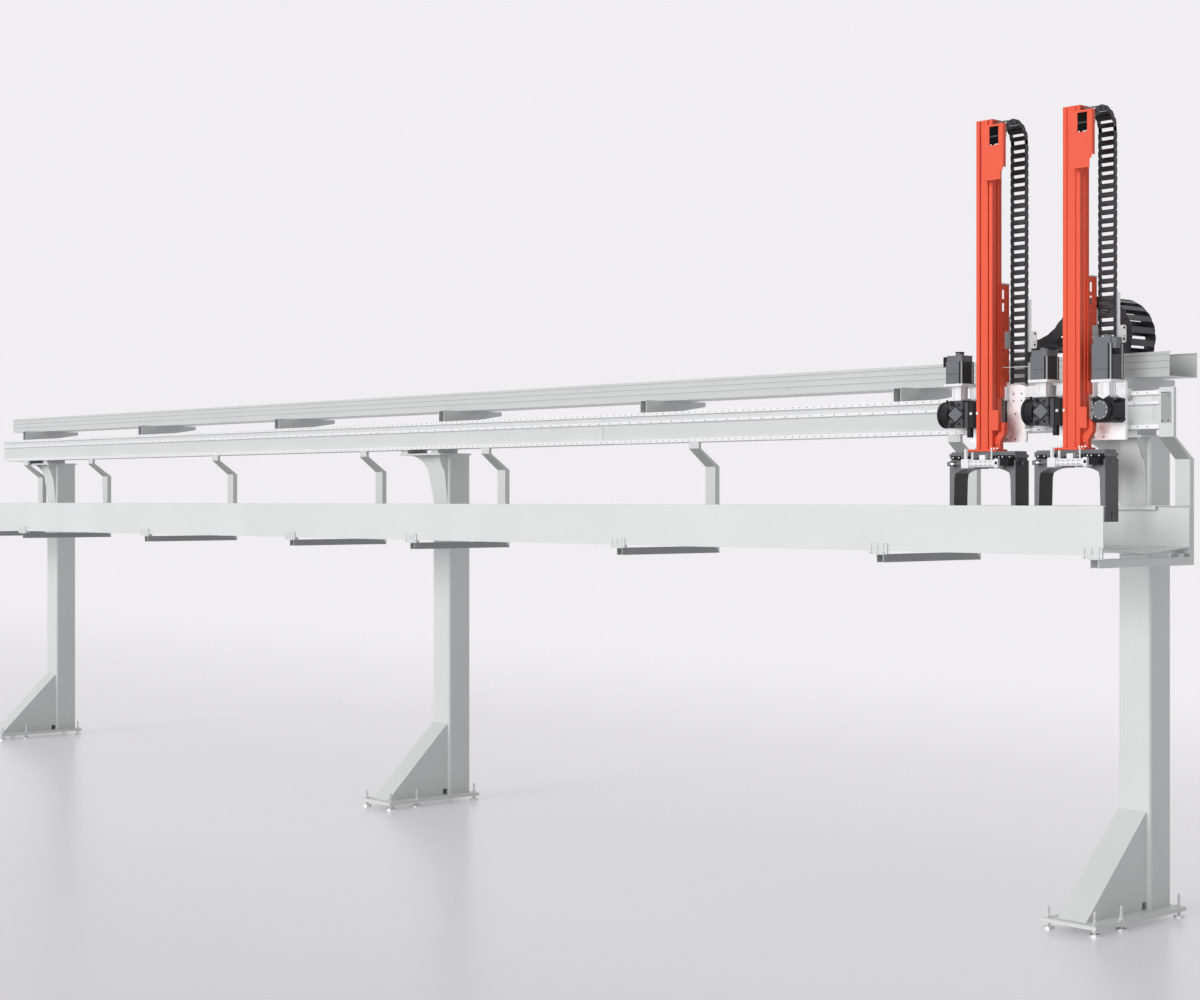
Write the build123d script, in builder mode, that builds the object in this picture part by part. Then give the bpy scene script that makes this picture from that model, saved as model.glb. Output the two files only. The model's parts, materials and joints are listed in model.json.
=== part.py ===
"""Overhead gantry robot: two vertical axes with grippers on one carriage, over a long parts tray.

Millimetres. +Z is up, +X runs along the beam and -Y is the side where the robots hang.
The origin is on the floor, under the middle of the beam's length and midway between the
tray's front and the back ends of the arms that carry the cable trough.
"""

import os
from math import atan2, cos, degrees, hypot, pi, radians, sin

from build123d import *

# Beam, in three spliced lengths of square tube
BEAM_LENGTH = 13000
BEAM_SIZE = 200
BEAM_WALL = 8
BEAM_CORNER = 12
BEAM_SEGMENTS = 3
BEAM_BOTTOM = 2600
BEAM_Y = 175
BEAM_TOP = BEAM_BOTTOM + BEAM_SIZE
BEAM_FRONT = BEAM_Y - BEAM_SIZE / 2

# Columns, set back from the beam
COLUMN_SIZE = 200
COLUMN_WALL = 6
COLUMN_CORNER = 20
COLUMN_PITCH = 6000
COLUMN_X = [270 + COLUMN_PITCH, 270, 270 - COLUMN_PITCH]
COLUMN_FRONT = BEAM_Y
COLUMN_BACK = COLUMN_FRONT + COLUMN_SIZE
HALF_COLUMN = COLUMN_SIZE / 2

# Base plate on levelling feet, with a closed wedge in front of the column
PLATE_BOTTOM = 35
PLATE_THICK = 20
PLATE_TOP = PLATE_BOTTOM + PLATE_THICK
PLATE_LEFT = 160
PLATE_RIGHT = 177
PLATE_FRONT = -425
PLATE_BACK = COLUMN_BACK + 20
WEDGE_LEFT = 98
WEDGE_RIGHT = 78
WEDGE_HEIGHT = 520
WEDGE_REACH = 545
WEDGE_WALL = 6
MOUSE_HOLE = 40
FOOT_INSET = 26
FOOT_MIDDLE = 260
FOOT_RADIUS = 30
FOOT_SIDES = 8
STUD_SIDES = 6
FOOT_DISC = 12
STUD_RADIUS = 8
STUD_CLEARANCE = 0.5
STUD_ABOVE = 60
STUD_POINT = 15
NUT_RADIUS = 14
NUT_HEIGHT = 13

# Head plate, shims and flared gussets at the top of a column
HEAD_BOTTOM = 2558
HEAD_THICK = 13
HEAD_LEFT = 400
HEAD_FRONT = 84
HEAD_BACK = 8
SHIM_LENGTH = 80
GUSSET_THICK = 10
GUSSET_DROP = 368
SIDE_FLARE = 290
FRONT_FLARE = 84
SIDE_KNEE = 80
FRONT_KNEE = 27
KNEE_DROP = 115
FLARE_RADIUS = 260

# Strips bolted to the beam's front: two guide rails and the rack between them
RAIL_DEPTH = 18
RAIL_HEIGHT = 22
RACK_HEIGHT = 17
RACK_ABOVE_BEAM = 128
RAIL_FRONT = BEAM_FRONT - RAIL_DEPTH
RACK_BOTTOM = BEAM_BOTTOM + RACK_ABOVE_BEAM

# Cable trough on channel arms
TROUGH_LEFT = -6622
TROUGH_RIGHT = 6449
TROUGH_FRONT = 235
TROUGH_WIDTH = 263
TROUGH_HEIGHT = 133
TROUGH_WALL = 3
TROUGH_LIP = 12
TROUGH_RIB = 2
TROUGH_RIB_HEIGHT = 10
TROUGH_RIB_SHARES = (0.33, 0.6, 0.85)
TROUGH_JOINT = 1
ARM_HEIGHT = 83
ARM_BACK = 625
ARM_TIP = 30
ARM_WIDTH = 60
ARM_WALL = 5
ARM_PITCH = 2160
ARM_FIRST = 4692
ARM_COUNT = 6
ARM_END = 6170
TROUGH_BOTTOM = BEAM_TOP + ARM_HEIGHT
TROUGH_BACK = TROUGH_FRONT + TROUGH_WIDTH

# Parts tray: an open V-floored trough along the whole machine
TRAY_HALF = 6622
TRAY_FRONT = -615
TRAY_BACK = 155
TRAY_BOTTOM = 1949
TRAY_TOP = 2198
TRAY_SHEET = 3
TRAY_LIP = 18
TRAY_EDGE = 1980
TRAY_VALLEY = 1953
VALLEY_Y = -246
HATCH_FRONT = -305
HATCH_BACK = 65
HATCH_LENGTH = 1150
HATCH_MIDDLE = [5780, -5400]

# C-shaped tray brackets under the beam
BRACKET_X = [5109, 3007, 888, -594, -2703, -4822, -6064]
BRACKET_WIDTH = 88
BRACKET_SHEET = 5
BRACKET_DEPTH = 39
BRACKET_BACK = 249
BRACKET_BOTTOM = 1886
ELBOW_LOW = 2441
ELBOW_HIGH = 2556
NECK_DEPTH = 22
NECK_FRONT = 60
BAR_WIDTH = 50
BAR_TOP = 1930
BAR_FRONT = -606
BAR_SHEET = 4
CLAMP_WIDTH = 70
CLAMP_HEIGHT = 45
CLAMP_THICK = 10
CLAMP_SLOT = 9
CLAMP_SLOT_DEPTH = 30

# Carriage: two plates tied by a bar, sliding on the beam's front
ROBOT_X = [5502, 6077]
PLATE_Y = 5
PLATE_DEPTH = 20
CARRIAGE_BOTTOM = 2545
CARRIAGE_TOP = 2857
CARRIAGE_LEFT = [190, 167]
CARRIAGE_RIGHT = [184, 255]
TIE_BOTTOM = 2790
TIE_TOP = 2850
TIE_STRAP = 12
TIE_LAP = 46
LOW_TIE_TOP = 2617
LOW_TIE_HEIGHT = 13
LOW_TIE_DEPTH = 12
TIE_LEG_BOTTOM = 2548
TIE_LEG_WIDTH = 11
SHOE_LENGTH = 80
SHOE_LIP = 14
SHOE_REACH = 15
RUN_GAP = 0.3

# Vertical axis: aluminium extrusion on two rails, driven by a rack on its left side
Z_WIDTH = 110
Z_DEPTH = 80
Z_FRONT = -115
Z_BOTTOM = 2505
Z_TOP = 4318
Z_CORE = 26
SLOT_MOUTH = 8
SLOT_WIDTH = 16
SLOT_LIP = 4
SLOT_DEPTH = 11
Z_RAIL_WIDTH = 15
Z_RAIL_DEPTH = 23
Z_RAIL_OFFSET = 32
Z_RACK_WIDTH = 20
Z_RACK_DEPTH = 30
BLOCK_WIDTH = 48
BLOCK_LENGTH = 70
BLOCK_REACH = 12
STOP_LEFT = 34
STOP_RIGHT = 98
STOP_SHEET = 4
STOP_DEPTH = 20
STOP_BOTTOM = 2608
STOP_HEIGHT = 111
Z_BACK = Z_FRONT + Z_DEPTH
# Elbow at the beam's lower right, as distances from the beam's side and heights
ELBOW_Y = -92
ELBOW_DEPTH = 32
ELBOW_OUTLINE = [
    (0, Z_BOTTOM),
    (34, Z_BOTTOM),
    (32, 2545),
    (62, 2588),
    (62, 2652),
    (40, 2652),
    (40, 2607),
    (0, 2570),
]

# Geared motors
DRIVE_Y = -57
MOTOR_SIZE = 116
MOTOR_RECESS = 14
MOTOR_HEIGHT = 158
CAP_HEIGHT = 34
CAP_STEP = 5
CAP_CORNER = 14
PLUG_WIDTH = 30
PLUG_DEPTH = 36
PLUG_HEIGHT = 22
SOCKET_HEIGHT = 62
SOCKET_REACH = 24
FLANGE_SIZE = 126
FLANGE_THICK = 14
BELL_RADIUS = 34
BELL_FOOT = 84
BELL_FOOT_THICK = 12
BELL_POST = 13
BELL_POST_PLACE = 50
BELL_HEIGHT = 81
GEARBOX_BOTTOM = 2627
GEARBOX_HEIGHT = 153
MOTOR_OFFSET = -215
Z_BLOCK_LEFT = -250
Z_BLOCK_RIGHT = -144
Z_BLOCK_FRONT = -115
DRUM_RADIUS = 74
DRUM_LEFT = -319
DRUM_RING = 18
DRUM_GROOVE = 4
COVER_DIAMOND = 50
COVER_PLATE = 8
NOSE_FRONT = -109
NOSE_LEFT = -130
NOSE_RIGHT = -106
NOSE_BOTTOM = 2573
Z_PINION_OFFSET = 105
Z_PINION_RADIUS = 30
Z_PINION_HEIGHT = 2700
Z_PINION_FRONT = -75
Z_PINION_WIDTH = 30
SHAFT_RADIUS = 10
X_MOTOR_OFFSET = 187
X_MOTOR_SIZE = 124
X_MOTOR_HEIGHT = 223
X_GEARBOX_SIZE = 132
X_GEARBOX_CHAMFER = 14
X_GEARBOX_DEPTH = 104
X_COVER_RADIUS = 58
X_COVER_THICK = 14
X_PINION_RADIUS = 28
X_BELL_HEIGHT = 80
HANDLE_RADIUS = 9
HANDLE_REACH = 38
HANDLE_OFFSET = 50

# Energy chain of the carriage, rolling in the trough
X_LINK = 60
X_CHAIN_HEIGHT = 64
X_CHAIN_WIDTH = 230
X_CHAIN_WALL = 7
X_CHAIN_BAR = 33
X_CHAIN_RADIUS = 194
X_CHAIN_FRONT = 252
X_LOOP_X = 5979
X_CHAIN_FIXED = 170
X_CHAIN_END = 5540
X_CHAIN_END_Z = 3085
SHELF_THICK = 8
SHELF_WIDTH = 100
LINK_GAP = 0.4
# Sides of the toothless pinions and their shafts
PINION_SIDES = 24
SHAFT_SIDES = 12

# Energy chain of each vertical axis, looping over its top
Z_LINK = 44
Z_CHAIN_HEIGHT = 28
Z_CHAIN_WIDTH = 102
Z_CHAIN_WALL = 5
Z_CHAIN_BAR = 24
Z_CHAIN_RADIUS = 102
Z_CHAIN_LEFT = 57
Z_CHAIN_BACK_Y = 58
Z_LOOP_Z = 4199
Z_CHAIN_START = 2866
Z_CHAIN_TAIL = 130
POST_WIDTH = 8
POST_GAP = 3
POST_DEPTH = 45
POST_TOP = 3395
POST_FOOT = 67
GUIDE_SHEET = 3
GUIDE_TOP = 3330
GUIDE_STRIP = 18
GUIDE_DEPTH = 8
EAR_WIDTH = 56
EAR_BOTTOM = 3060
EAR_TOP = 3155
EAR_CORNER = 12
EAR_HOLE = 4
LEFT_STRIP = 16
LEFT_STRIP_TOP = 3160

# Orange cover in front of the moving end of that chain
COVER_LEFT = 46
COVER_RIGHT = 165
COVER_FRONT = -166
COVER_BOTTOM = 3974
COVER_TOP = 4278
COVER_SHEET = 3
COVER_CHEEK = -140
WINDOW_LEFT = 73
WINDOW_WIDTH = 61
WINDOW_BOTTOM = 4163
WINDOW_HEIGHT = 103
CHEEK_CORNER = 20

# Gripper: rail plates under a flange, a cylinder in front and two arched jaws
HEAD_FLANGE_HALF = 98
HEAD_FLANGE_DEPTH = 97
HEAD_FLANGE_THICK = 12
RAIL_PLATE_HALF = 225
RAIL_PLATE_THICK = 35
RAIL_PLATE_FRONT = -135
RAIL_PLATE_DEPTH = 120
CYLINDER_LEFT = -92
CYLINDER_RIGHT = 158
CYLINDER_CAP = 50
ROD_RADIUS = 6
ROD_CLEARANCE = 0.5
ROD_BORE = 62
ROD_START = -84
LUG_LEFT = -200
LUG_RIGHT = -178
LUG_HEIGHT = 24
FITTING_RIGHT = 212
CYLINDER_RADIUS = 26
CYLINDER_Y = -177
JAW_BOTTOM = 2112
JAW_TIP = 27
JAW_KNEE = 34
JAW_KNEE_HEIGHT = 2348
JAW_ROOT = 41
JAW_ROOT_HEIGHT = 2374
JAW_ARCH = 135
JAW_REACH = 180
JAW_ARM_BOTTOM = 2400
JAW_STEP = 14
NUB_RADIUS = 8
NUB_LENGTH = 14
NUB_Y = -75
KEYHOLE_RADIUS = 9
KEYHOLE_SLOT = 8
KEYHOLE_HEIGHT = 45
HEAD_FLANGE_BOTTOM = Z_BOTTOM - HEAD_FLANGE_THICK
RAIL_PLATE_BOTTOM = HEAD_FLANGE_BOTTOM - RAIL_PLATE_THICK
CYLINDER_Z = RAIL_PLATE_BOTTOM - CYLINDER_RADIUS - 6
# Air ports on the cylinder: place from the robot's middle, radius and top
PORTS = [(-78, 11, Z_BOTTOM + 3), (-33, 7, Z_BOTTOM - 15), (97, 5, Z_BOTTOM - 2)]

os.makedirs("parts", exist_ok=True)


def save(part, label):
    """Name a finished sub-part and write it."""
    part.label = label
    export_step(part, f"parts/{label}.step")


def block(x, y, z, mode=Mode.ADD):
    """A straight block between two X, two Y and two Z faces, in the builder that is open."""
    with Locations(((x[0] + x[1]) / 2, (y[0] + y[1]) / 2, (z[0] + z[1]) / 2)):
        Box(x[1] - x[0], y[1] - y[0], z[1] - z[0], mode=mode)


def make_column(x):
    """Square tube welded to its base plate, wedge, head plate, shims and flared gussets."""
    beam_bottom_gap = BEAM_BOTTOM - HEAD_BOTTOM - HEAD_THICK
    with BuildPart() as column:
        with BuildSketch(Plane.XY.offset(PLATE_BOTTOM)):
            with Locations((x + (PLATE_RIGHT - PLATE_LEFT) / 2, (PLATE_FRONT + PLATE_BACK) / 2)):
                Rectangle(PLATE_LEFT + PLATE_RIGHT, PLATE_BACK - PLATE_FRONT)
            with Locations(*foot_points(x)):
                Circle(STUD_RADIUS + STUD_CLEARANCE, mode=Mode.SUBTRACT)
        extrude(amount=PLATE_THICK)
        with BuildSketch(Plane.XY.offset(PLATE_TOP)):
            with Locations((x, COLUMN_FRONT + HALF_COLUMN)):
                RectangleRounded(COLUMN_SIZE, COLUMN_SIZE, COLUMN_CORNER)
                inside = COLUMN_SIZE - 2 * COLUMN_WALL
                RectangleRounded(inside, inside, COLUMN_CORNER - COLUMN_WALL, mode=Mode.SUBTRACT)
        extrude(amount=HEAD_BOTTOM - PLATE_TOP)
        with BuildSketch(Plane.YZ.offset(x - WEDGE_LEFT)):
            with BuildLine():
                Polyline(
                    (COLUMN_FRONT, PLATE_TOP),
                    (COLUMN_FRONT - WEDGE_REACH, PLATE_TOP),
                    (COLUMN_FRONT, PLATE_TOP + WEDGE_HEIGHT),
                    close=True,
                )
            make_face()
        extrude(amount=WEDGE_LEFT + WEDGE_RIGHT)
        slope = WEDGE_WALL * hypot(WEDGE_REACH, WEDGE_HEIGHT)
        with BuildSketch(Plane.YZ.offset(x - WEDGE_LEFT + WEDGE_WALL)):
            with BuildLine():
                Polyline(
                    (COLUMN_FRONT, PLATE_TOP),
                    (COLUMN_FRONT - WEDGE_REACH + slope / WEDGE_HEIGHT, PLATE_TOP),
                    (COLUMN_FRONT, PLATE_TOP + WEDGE_HEIGHT - slope / WEDGE_REACH),
                    close=True,
                )
            make_face()
        extrude(amount=WEDGE_LEFT + WEDGE_RIGHT - 2 * WEDGE_WALL, mode=Mode.SUBTRACT)
        block(
            (x - WEDGE_LEFT, x + WEDGE_RIGHT),
            (COLUMN_FRONT - MOUSE_HOLE, COLUMN_FRONT),
            (PLATE_TOP, PLATE_TOP + MOUSE_HOLE),
            Mode.SUBTRACT,
        )
        block(
            (x - HEAD_LEFT, x + HALF_COLUMN),
            (COLUMN_FRONT - HEAD_FRONT, COLUMN_BACK + HEAD_BACK),
            (HEAD_BOTTOM, HEAD_BOTTOM + HEAD_THICK),
        )
        for shim_left in (x - HEAD_LEFT + FOOT_INSET, x + HALF_COLUMN - FOOT_INSET - SHIM_LENGTH):
            block(
                (shim_left, shim_left + SHIM_LENGTH),
                (COLUMN_FRONT - HEAD_FRONT, BEAM_Y + BEAM_SIZE / 2),
                (BEAM_BOTTOM - beam_bottom_gap, BEAM_BOTTOM),
            )
        side = x - HALF_COLUMN
        foot = HEAD_BOTTOM - GUSSET_DROP
        with BuildSketch(Plane.XZ.offset(-COLUMN_FRONT - GUSSET_THICK - COLUMN_CORNER)):
            with BuildLine():
                knee = (side - SIDE_KNEE, HEAD_BOTTOM - KNEE_DROP)
                Polyline(knee, (side, foot), (side, HEAD_BOTTOM), (side - SIDE_FLARE, HEAD_BOTTOM))
                RadiusArc((side - SIDE_FLARE, HEAD_BOTTOM), knee, FLARE_RADIUS)
            make_face()
        extrude(amount=GUSSET_THICK)
        with BuildSketch(Plane.YZ.offset(x + HALF_COLUMN - COLUMN_CORNER - GUSSET_THICK)):
            with BuildLine():
                Polyline(
                    (COLUMN_FRONT - FRONT_FLARE, HEAD_BOTTOM),
                    (COLUMN_FRONT - FRONT_KNEE, HEAD_BOTTOM - KNEE_DROP),
                    (COLUMN_FRONT, foot),
                    (COLUMN_FRONT, HEAD_BOTTOM),
                    close=True,
                )
            make_face()
        extrude(amount=GUSSET_THICK)
    return column.part


def foot_points(x):
    """Centres of the six levelling feet of the column at x."""
    left = x - PLATE_LEFT + FOOT_INSET
    right = x + PLATE_RIGHT - FOOT_INSET
    front = PLATE_FRONT + FOOT_INSET
    back = PLATE_BACK - FOOT_INSET
    return [(px, py) for px in (left, right) for py in (front, PLATE_FRONT + FOOT_MIDDLE, back)]


def make_levelling_feet():
    """Foot discs with studs through the base plates, each with a nut below and above."""
    points = [point for x in COLUMN_X for point in foot_points(x)]
    with BuildPart() as levelling_feet:
        with BuildSketch(Plane.XY):
            with Locations(*points):
                RegularPolygon(FOOT_RADIUS, FOOT_SIDES)
        extrude(amount=FOOT_DISC)
        with BuildSketch(Plane.XY.offset(FOOT_DISC)):
            with Locations(*points):
                RegularPolygon(STUD_RADIUS, STUD_SIDES)
        extrude(amount=PLATE_TOP + STUD_ABOVE - FOOT_DISC)
        with BuildSketch(Plane.XY.offset(PLATE_BOTTOM - NUT_HEIGHT)):
            with Locations(*points):
                RegularPolygon(NUT_RADIUS, 6)
        extrude(amount=NUT_HEIGHT)
        with BuildSketch(Plane.XY.offset(PLATE_TOP)):
            with Locations(*points):
                RegularPolygon(NUT_RADIUS, 6)
        extrude(amount=NUT_HEIGHT)
        with BuildSketch(Plane.XY.offset(PLATE_TOP + STUD_ABOVE)):
            with Locations(*points):
                RegularPolygon(STUD_RADIUS, STUD_SIDES)
        extrude(amount=STUD_POINT, taper=22)
    return levelling_feet.part


def make_beam_segment(index):
    """One spliced length of the square beam, hollow."""
    length = BEAM_LENGTH / BEAM_SEGMENTS
    with BuildPart() as beam_segment:
        with BuildSketch(Plane.YZ.offset(-BEAM_LENGTH / 2 + index * length)):
            with Locations((BEAM_Y, BEAM_BOTTOM + BEAM_SIZE / 2)):
                RectangleRounded(BEAM_SIZE, BEAM_SIZE, BEAM_CORNER)
                inside = BEAM_SIZE - 2 * BEAM_WALL
                RectangleRounded(inside, inside, BEAM_CORNER - BEAM_WALL, mode=Mode.SUBTRACT)
        extrude(amount=length)
    return beam_segment.part


def make_strip(bottom, height):
    """A straight strip along the beam's front face."""
    with BuildPart() as strip:
        with BuildSketch(Plane.YZ.offset(-BEAM_LENGTH / 2)):
            with Locations((BEAM_FRONT - RAIL_DEPTH / 2, bottom + height / 2)):
                Rectangle(RAIL_DEPTH, height)
        extrude(amount=BEAM_LENGTH)
    return strip.part


def make_cable_trough():
    """Open U-shaped sheet trough with inward lips and pressed ribs, in lengths that meet on the arms."""
    top = TROUGH_BOTTOM + TROUGH_HEIGHT
    joints = [ARM_FIRST - index * ARM_PITCH + ARM_WIDTH / 2 for index in range(ARM_COUNT)]
    half_gap = TROUGH_JOINT / 2
    ends = [TROUGH_RIGHT + half_gap, *joints, TROUGH_LEFT - half_gap]
    with BuildPart() as cable_trough:
        for right, left in zip(ends, ends[1:]):
            with BuildSketch(Plane.YZ.offset(left + half_gap)):
                with Locations((TROUGH_FRONT + TROUGH_WIDTH / 2, TROUGH_BOTTOM + TROUGH_HEIGHT / 2)):
                    Rectangle(TROUGH_WIDTH, TROUGH_HEIGHT)
                inner = (TROUGH_WIDTH - 2 * TROUGH_WALL, TROUGH_HEIGHT - TROUGH_WALL)
                with Locations((TROUGH_FRONT + TROUGH_WIDTH / 2, top - inner[1] / 2)):
                    Rectangle(*inner, mode=Mode.SUBTRACT)
                lips = [TROUGH_FRONT + TROUGH_LIP / 2, TROUGH_BACK - TROUGH_LIP / 2]
                with Locations(*[(y, top - TROUGH_WALL / 2) for y in lips]):
                    Rectangle(TROUGH_LIP, TROUGH_WALL)
                ribs = [TROUGH_BOTTOM + TROUGH_HEIGHT * share for share in TROUGH_RIB_SHARES]
                outside = [TROUGH_FRONT - TROUGH_RIB / 2, TROUGH_BACK + TROUGH_RIB / 2]
                with Locations(*[(y, z) for y in outside for z in ribs]):
                    Rectangle(TROUGH_RIB, TROUGH_RIB_HEIGHT)
            extrude(amount=right - left - TROUGH_JOINT)
    return cable_trough.part


def make_trough_arms():
    """Channel arms from the beam's top to the back, open below and tapered to their tips."""
    lefts = [ARM_END] + [ARM_FIRST - index * ARM_PITCH for index in range(ARM_COUNT)]
    beam_back = BEAM_Y + BEAM_SIZE / 2
    tip_bottom = TROUGH_BOTTOM - ARM_TIP
    with BuildPart() as trough_arms:
        for left in lefts:
            with BuildSketch(Plane.YZ.offset(left)):
                with BuildLine():
                    Polyline(
                        (BEAM_FRONT, BEAM_TOP),
                        (beam_back, BEAM_TOP),
                        (ARM_BACK, tip_bottom),
                        (ARM_BACK, TROUGH_BOTTOM),
                        (BEAM_FRONT, TROUGH_BOTTOM),
                        close=True,
                    )
                make_face()
            extrude(amount=ARM_WIDTH)
            with BuildSketch(Plane.YZ.offset(left + ARM_WALL)):
                with BuildLine():
                    Polyline(
                        (BEAM_FRONT, BEAM_TOP),
                        (beam_back, BEAM_TOP),
                        (ARM_BACK, tip_bottom),
                        (ARM_BACK, TROUGH_BOTTOM - ARM_WALL),
                        (BEAM_FRONT, TROUGH_BOTTOM - ARM_WALL),
                        close=True,
                    )
                make_face()
            extrude(amount=ARM_WIDTH - 2 * ARM_WALL, mode=Mode.SUBTRACT)
    return trough_arms.part


def bracket_outline(top, shift):
    """Corners of a tray bracket seen from the end of the beam, moved back by shift."""
    front = BRACKET_BACK - BRACKET_DEPTH
    return [
        (front + shift, BRACKET_BOTTOM),
        (front + shift, ELBOW_LOW),
        (NECK_FRONT + shift, ELBOW_HIGH),
        (NECK_FRONT + shift, top),
        (NECK_FRONT + NECK_DEPTH, top),
        (NECK_FRONT + NECK_DEPTH, ELBOW_HIGH),
        (BRACKET_BACK, ELBOW_LOW),
        (BRACKET_BACK, BRACKET_BOTTOM),
    ]


def make_tray_brackets(lefts, top):
    """Bent sheet brackets, open behind, each with the channel bar that carries the tray."""
    with BuildPart() as tray_brackets:
        for left in lefts:
            right = left + BRACKET_WIDTH
            with BuildSketch(Plane.YZ.offset(left)):
                with BuildLine():
                    Polyline(*bracket_outline(top, 0), close=True)
                make_face()
            extrude(amount=BRACKET_WIDTH)
            with BuildSketch(Plane.YZ.offset(left + BRACKET_SHEET)):
                with BuildLine():
                    Polyline(*bracket_outline(top, BRACKET_SHEET), close=True)
                make_face()
            extrude(amount=BRACKET_WIDTH - 2 * BRACKET_SHEET, mode=Mode.SUBTRACT)
            bar_back = BRACKET_BACK - BRACKET_DEPTH
            block((right - BAR_WIDTH, right), (BAR_FRONT, bar_back), (BRACKET_BOTTOM, BAR_TOP))
            block(
                (right - BAR_WIDTH + BAR_SHEET, right - BAR_SHEET),
                (BAR_FRONT, bar_back),
                (BRACKET_BOTTOM, BAR_TOP - BAR_SHEET),
                Mode.SUBTRACT,
            )
    return tray_brackets.part


def make_tray_wall(inner_face, outward):
    """Side sheet of the tray with a folded lip along its top, towards the inside."""
    faces = sorted((inner_face, inner_face + outward * TRAY_SHEET))
    lip = sorted((inner_face + outward * TRAY_SHEET, inner_face - outward * TRAY_LIP))
    with BuildPart() as tray_wall:
        block((-TRAY_HALF, TRAY_HALF), faces, (TRAY_BOTTOM, TRAY_TOP))
        block((-TRAY_HALF, TRAY_HALF), lip, (TRAY_TOP - TRAY_SHEET, TRAY_TOP))
    return tray_wall.part


def make_tray_floor():
    """V-shaped floor sheet with a loading hatch at each end station."""
    front = TRAY_FRONT + TRAY_SHEET
    back = TRAY_BACK - TRAY_SHEET
    with BuildPart() as tray_floor:
        with BuildSketch(Plane.YZ.offset(-TRAY_HALF)):
            with BuildLine():
                Polyline(
                    (front, TRAY_EDGE),
                    (VALLEY_Y, TRAY_VALLEY),
                    (back, TRAY_EDGE),
                    (back, TRAY_EDGE + TRAY_SHEET),
                    (VALLEY_Y, TRAY_VALLEY + TRAY_SHEET),
                    (front, TRAY_EDGE + TRAY_SHEET),
                    close=True,
                )
            make_face()
        extrude(amount=2 * TRAY_HALF)
        for middle in HATCH_MIDDLE:
            block(
                (middle - HATCH_LENGTH / 2, middle + HATCH_LENGTH / 2),
                (HATCH_FRONT, HATCH_BACK),
                (TRAY_VALLEY - 1, TRAY_EDGE + 2 * TRAY_SHEET),
                Mode.SUBTRACT,
            )
    return tray_floor.part


def make_tray_supports():
    """Combed clamps on the tray's front, and the blocks that seat the tray on each bar."""
    with BuildPart() as tray_supports:
        for left in [BEAM_LENGTH / 2] + BRACKET_X:
            right = left + BRACKET_WIDTH
            middle = right - BAR_WIDTH / 2
            block(
                (middle - CLAMP_WIDTH / 2, middle + CLAMP_WIDTH / 2),
                (TRAY_FRONT - CLAMP_THICK, TRAY_FRONT),
                (BAR_TOP, BAR_TOP + CLAMP_HEIGHT),
            )
            block(
                (middle - BAR_WIDTH / 2, middle + BAR_WIDTH / 2),
                (TRAY_FRONT - CLAMP_THICK, TRAY_FRONT + BAR_WIDTH),
                (BAR_TOP, TRAY_BOTTOM),
            )
            for step in (-1, 0, 1):
                slot = middle + step * CLAMP_WIDTH / 3.5
                block(
                    (slot - CLAMP_SLOT / 2, slot + CLAMP_SLOT / 2),
                    (TRAY_FRONT - CLAMP_THICK, TRAY_FRONT),
                    (BAR_TOP + CLAMP_HEIGHT - CLAMP_SLOT_DEPTH, BAR_TOP + CLAMP_HEIGHT),
                    Mode.SUBTRACT,
                )
            block(
                (middle - BAR_WIDTH / 2, middle + BAR_WIDTH / 2),
                (TRAY_BACK - BAR_WIDTH, TRAY_BACK),
                (BAR_TOP, TRAY_BOTTOM),
            )
    return tray_supports.part


def plate_span(robot):
    """Left and right edges of a robot's carriage plate."""
    return ROBOT_X[robot] - CARRIAGE_LEFT[robot], ROBOT_X[robot] + CARRIAGE_RIGHT[robot]


def make_carriage_plate(robot):
    """Thick plate that carries one vertical axis and its drives."""
    left, right = plate_span(robot)
    with BuildPart() as carriage_plate:
        with BuildSketch(Plane.XZ.offset(-PLATE_Y - PLATE_DEPTH)):
            with Locations(((left + right) / 2, (CARRIAGE_BOTTOM + CARRIAGE_TOP) / 2)):
                Rectangle(right - left, CARRIAGE_TOP - CARRIAGE_BOTTOM)
            if robot == 1:
                with Locations((ROBOT_X[1] + X_MOTOR_OFFSET, RACK_BOTTOM - X_PINION_RADIUS)):
                    Circle(SHAFT_RADIUS + 2, mode=Mode.SUBTRACT)
        extrude(amount=PLATE_DEPTH)
        chamfer(carriage_plate.edges().filter_by(Axis.Y).group_by(Axis.Z)[-1], 8)
    return carriage_plate.part


def make_coupling_bar():
    """Bar that ties the two carriage plates together near their tops."""
    gap = (plate_span(0)[1], plate_span(1)[0])
    back = PLATE_Y + PLATE_DEPTH
    with BuildPart() as coupling_bar:
        block(gap, (PLATE_Y, back), (TIE_BOTTOM, TIE_TOP))
        strap_bottom = BEAM_TOP + RUN_GAP + SHOE_LIP + 3
        block((gap[0] - TIE_LAP, gap[1] + TIE_LAP), (back, back + TIE_STRAP), (strap_bottom, TIE_TOP))
        low = (LOW_TIE_TOP - LOW_TIE_HEIGHT, LOW_TIE_TOP)
        low_depth = (PLATE_Y, PLATE_Y + LOW_TIE_DEPTH)
        block(gap, low_depth, low)
        block((gap[0], gap[0] + TIE_LEG_WIDTH), low_depth, (TIE_LEG_BOTTOM, low[0]))
        block((gap[1] - 3 * TIE_LEG_WIDTH, gap[1]), low_depth, (low[0] - 2 * TIE_LEG_WIDTH, low[0]))
    return coupling_bar.part


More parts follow.
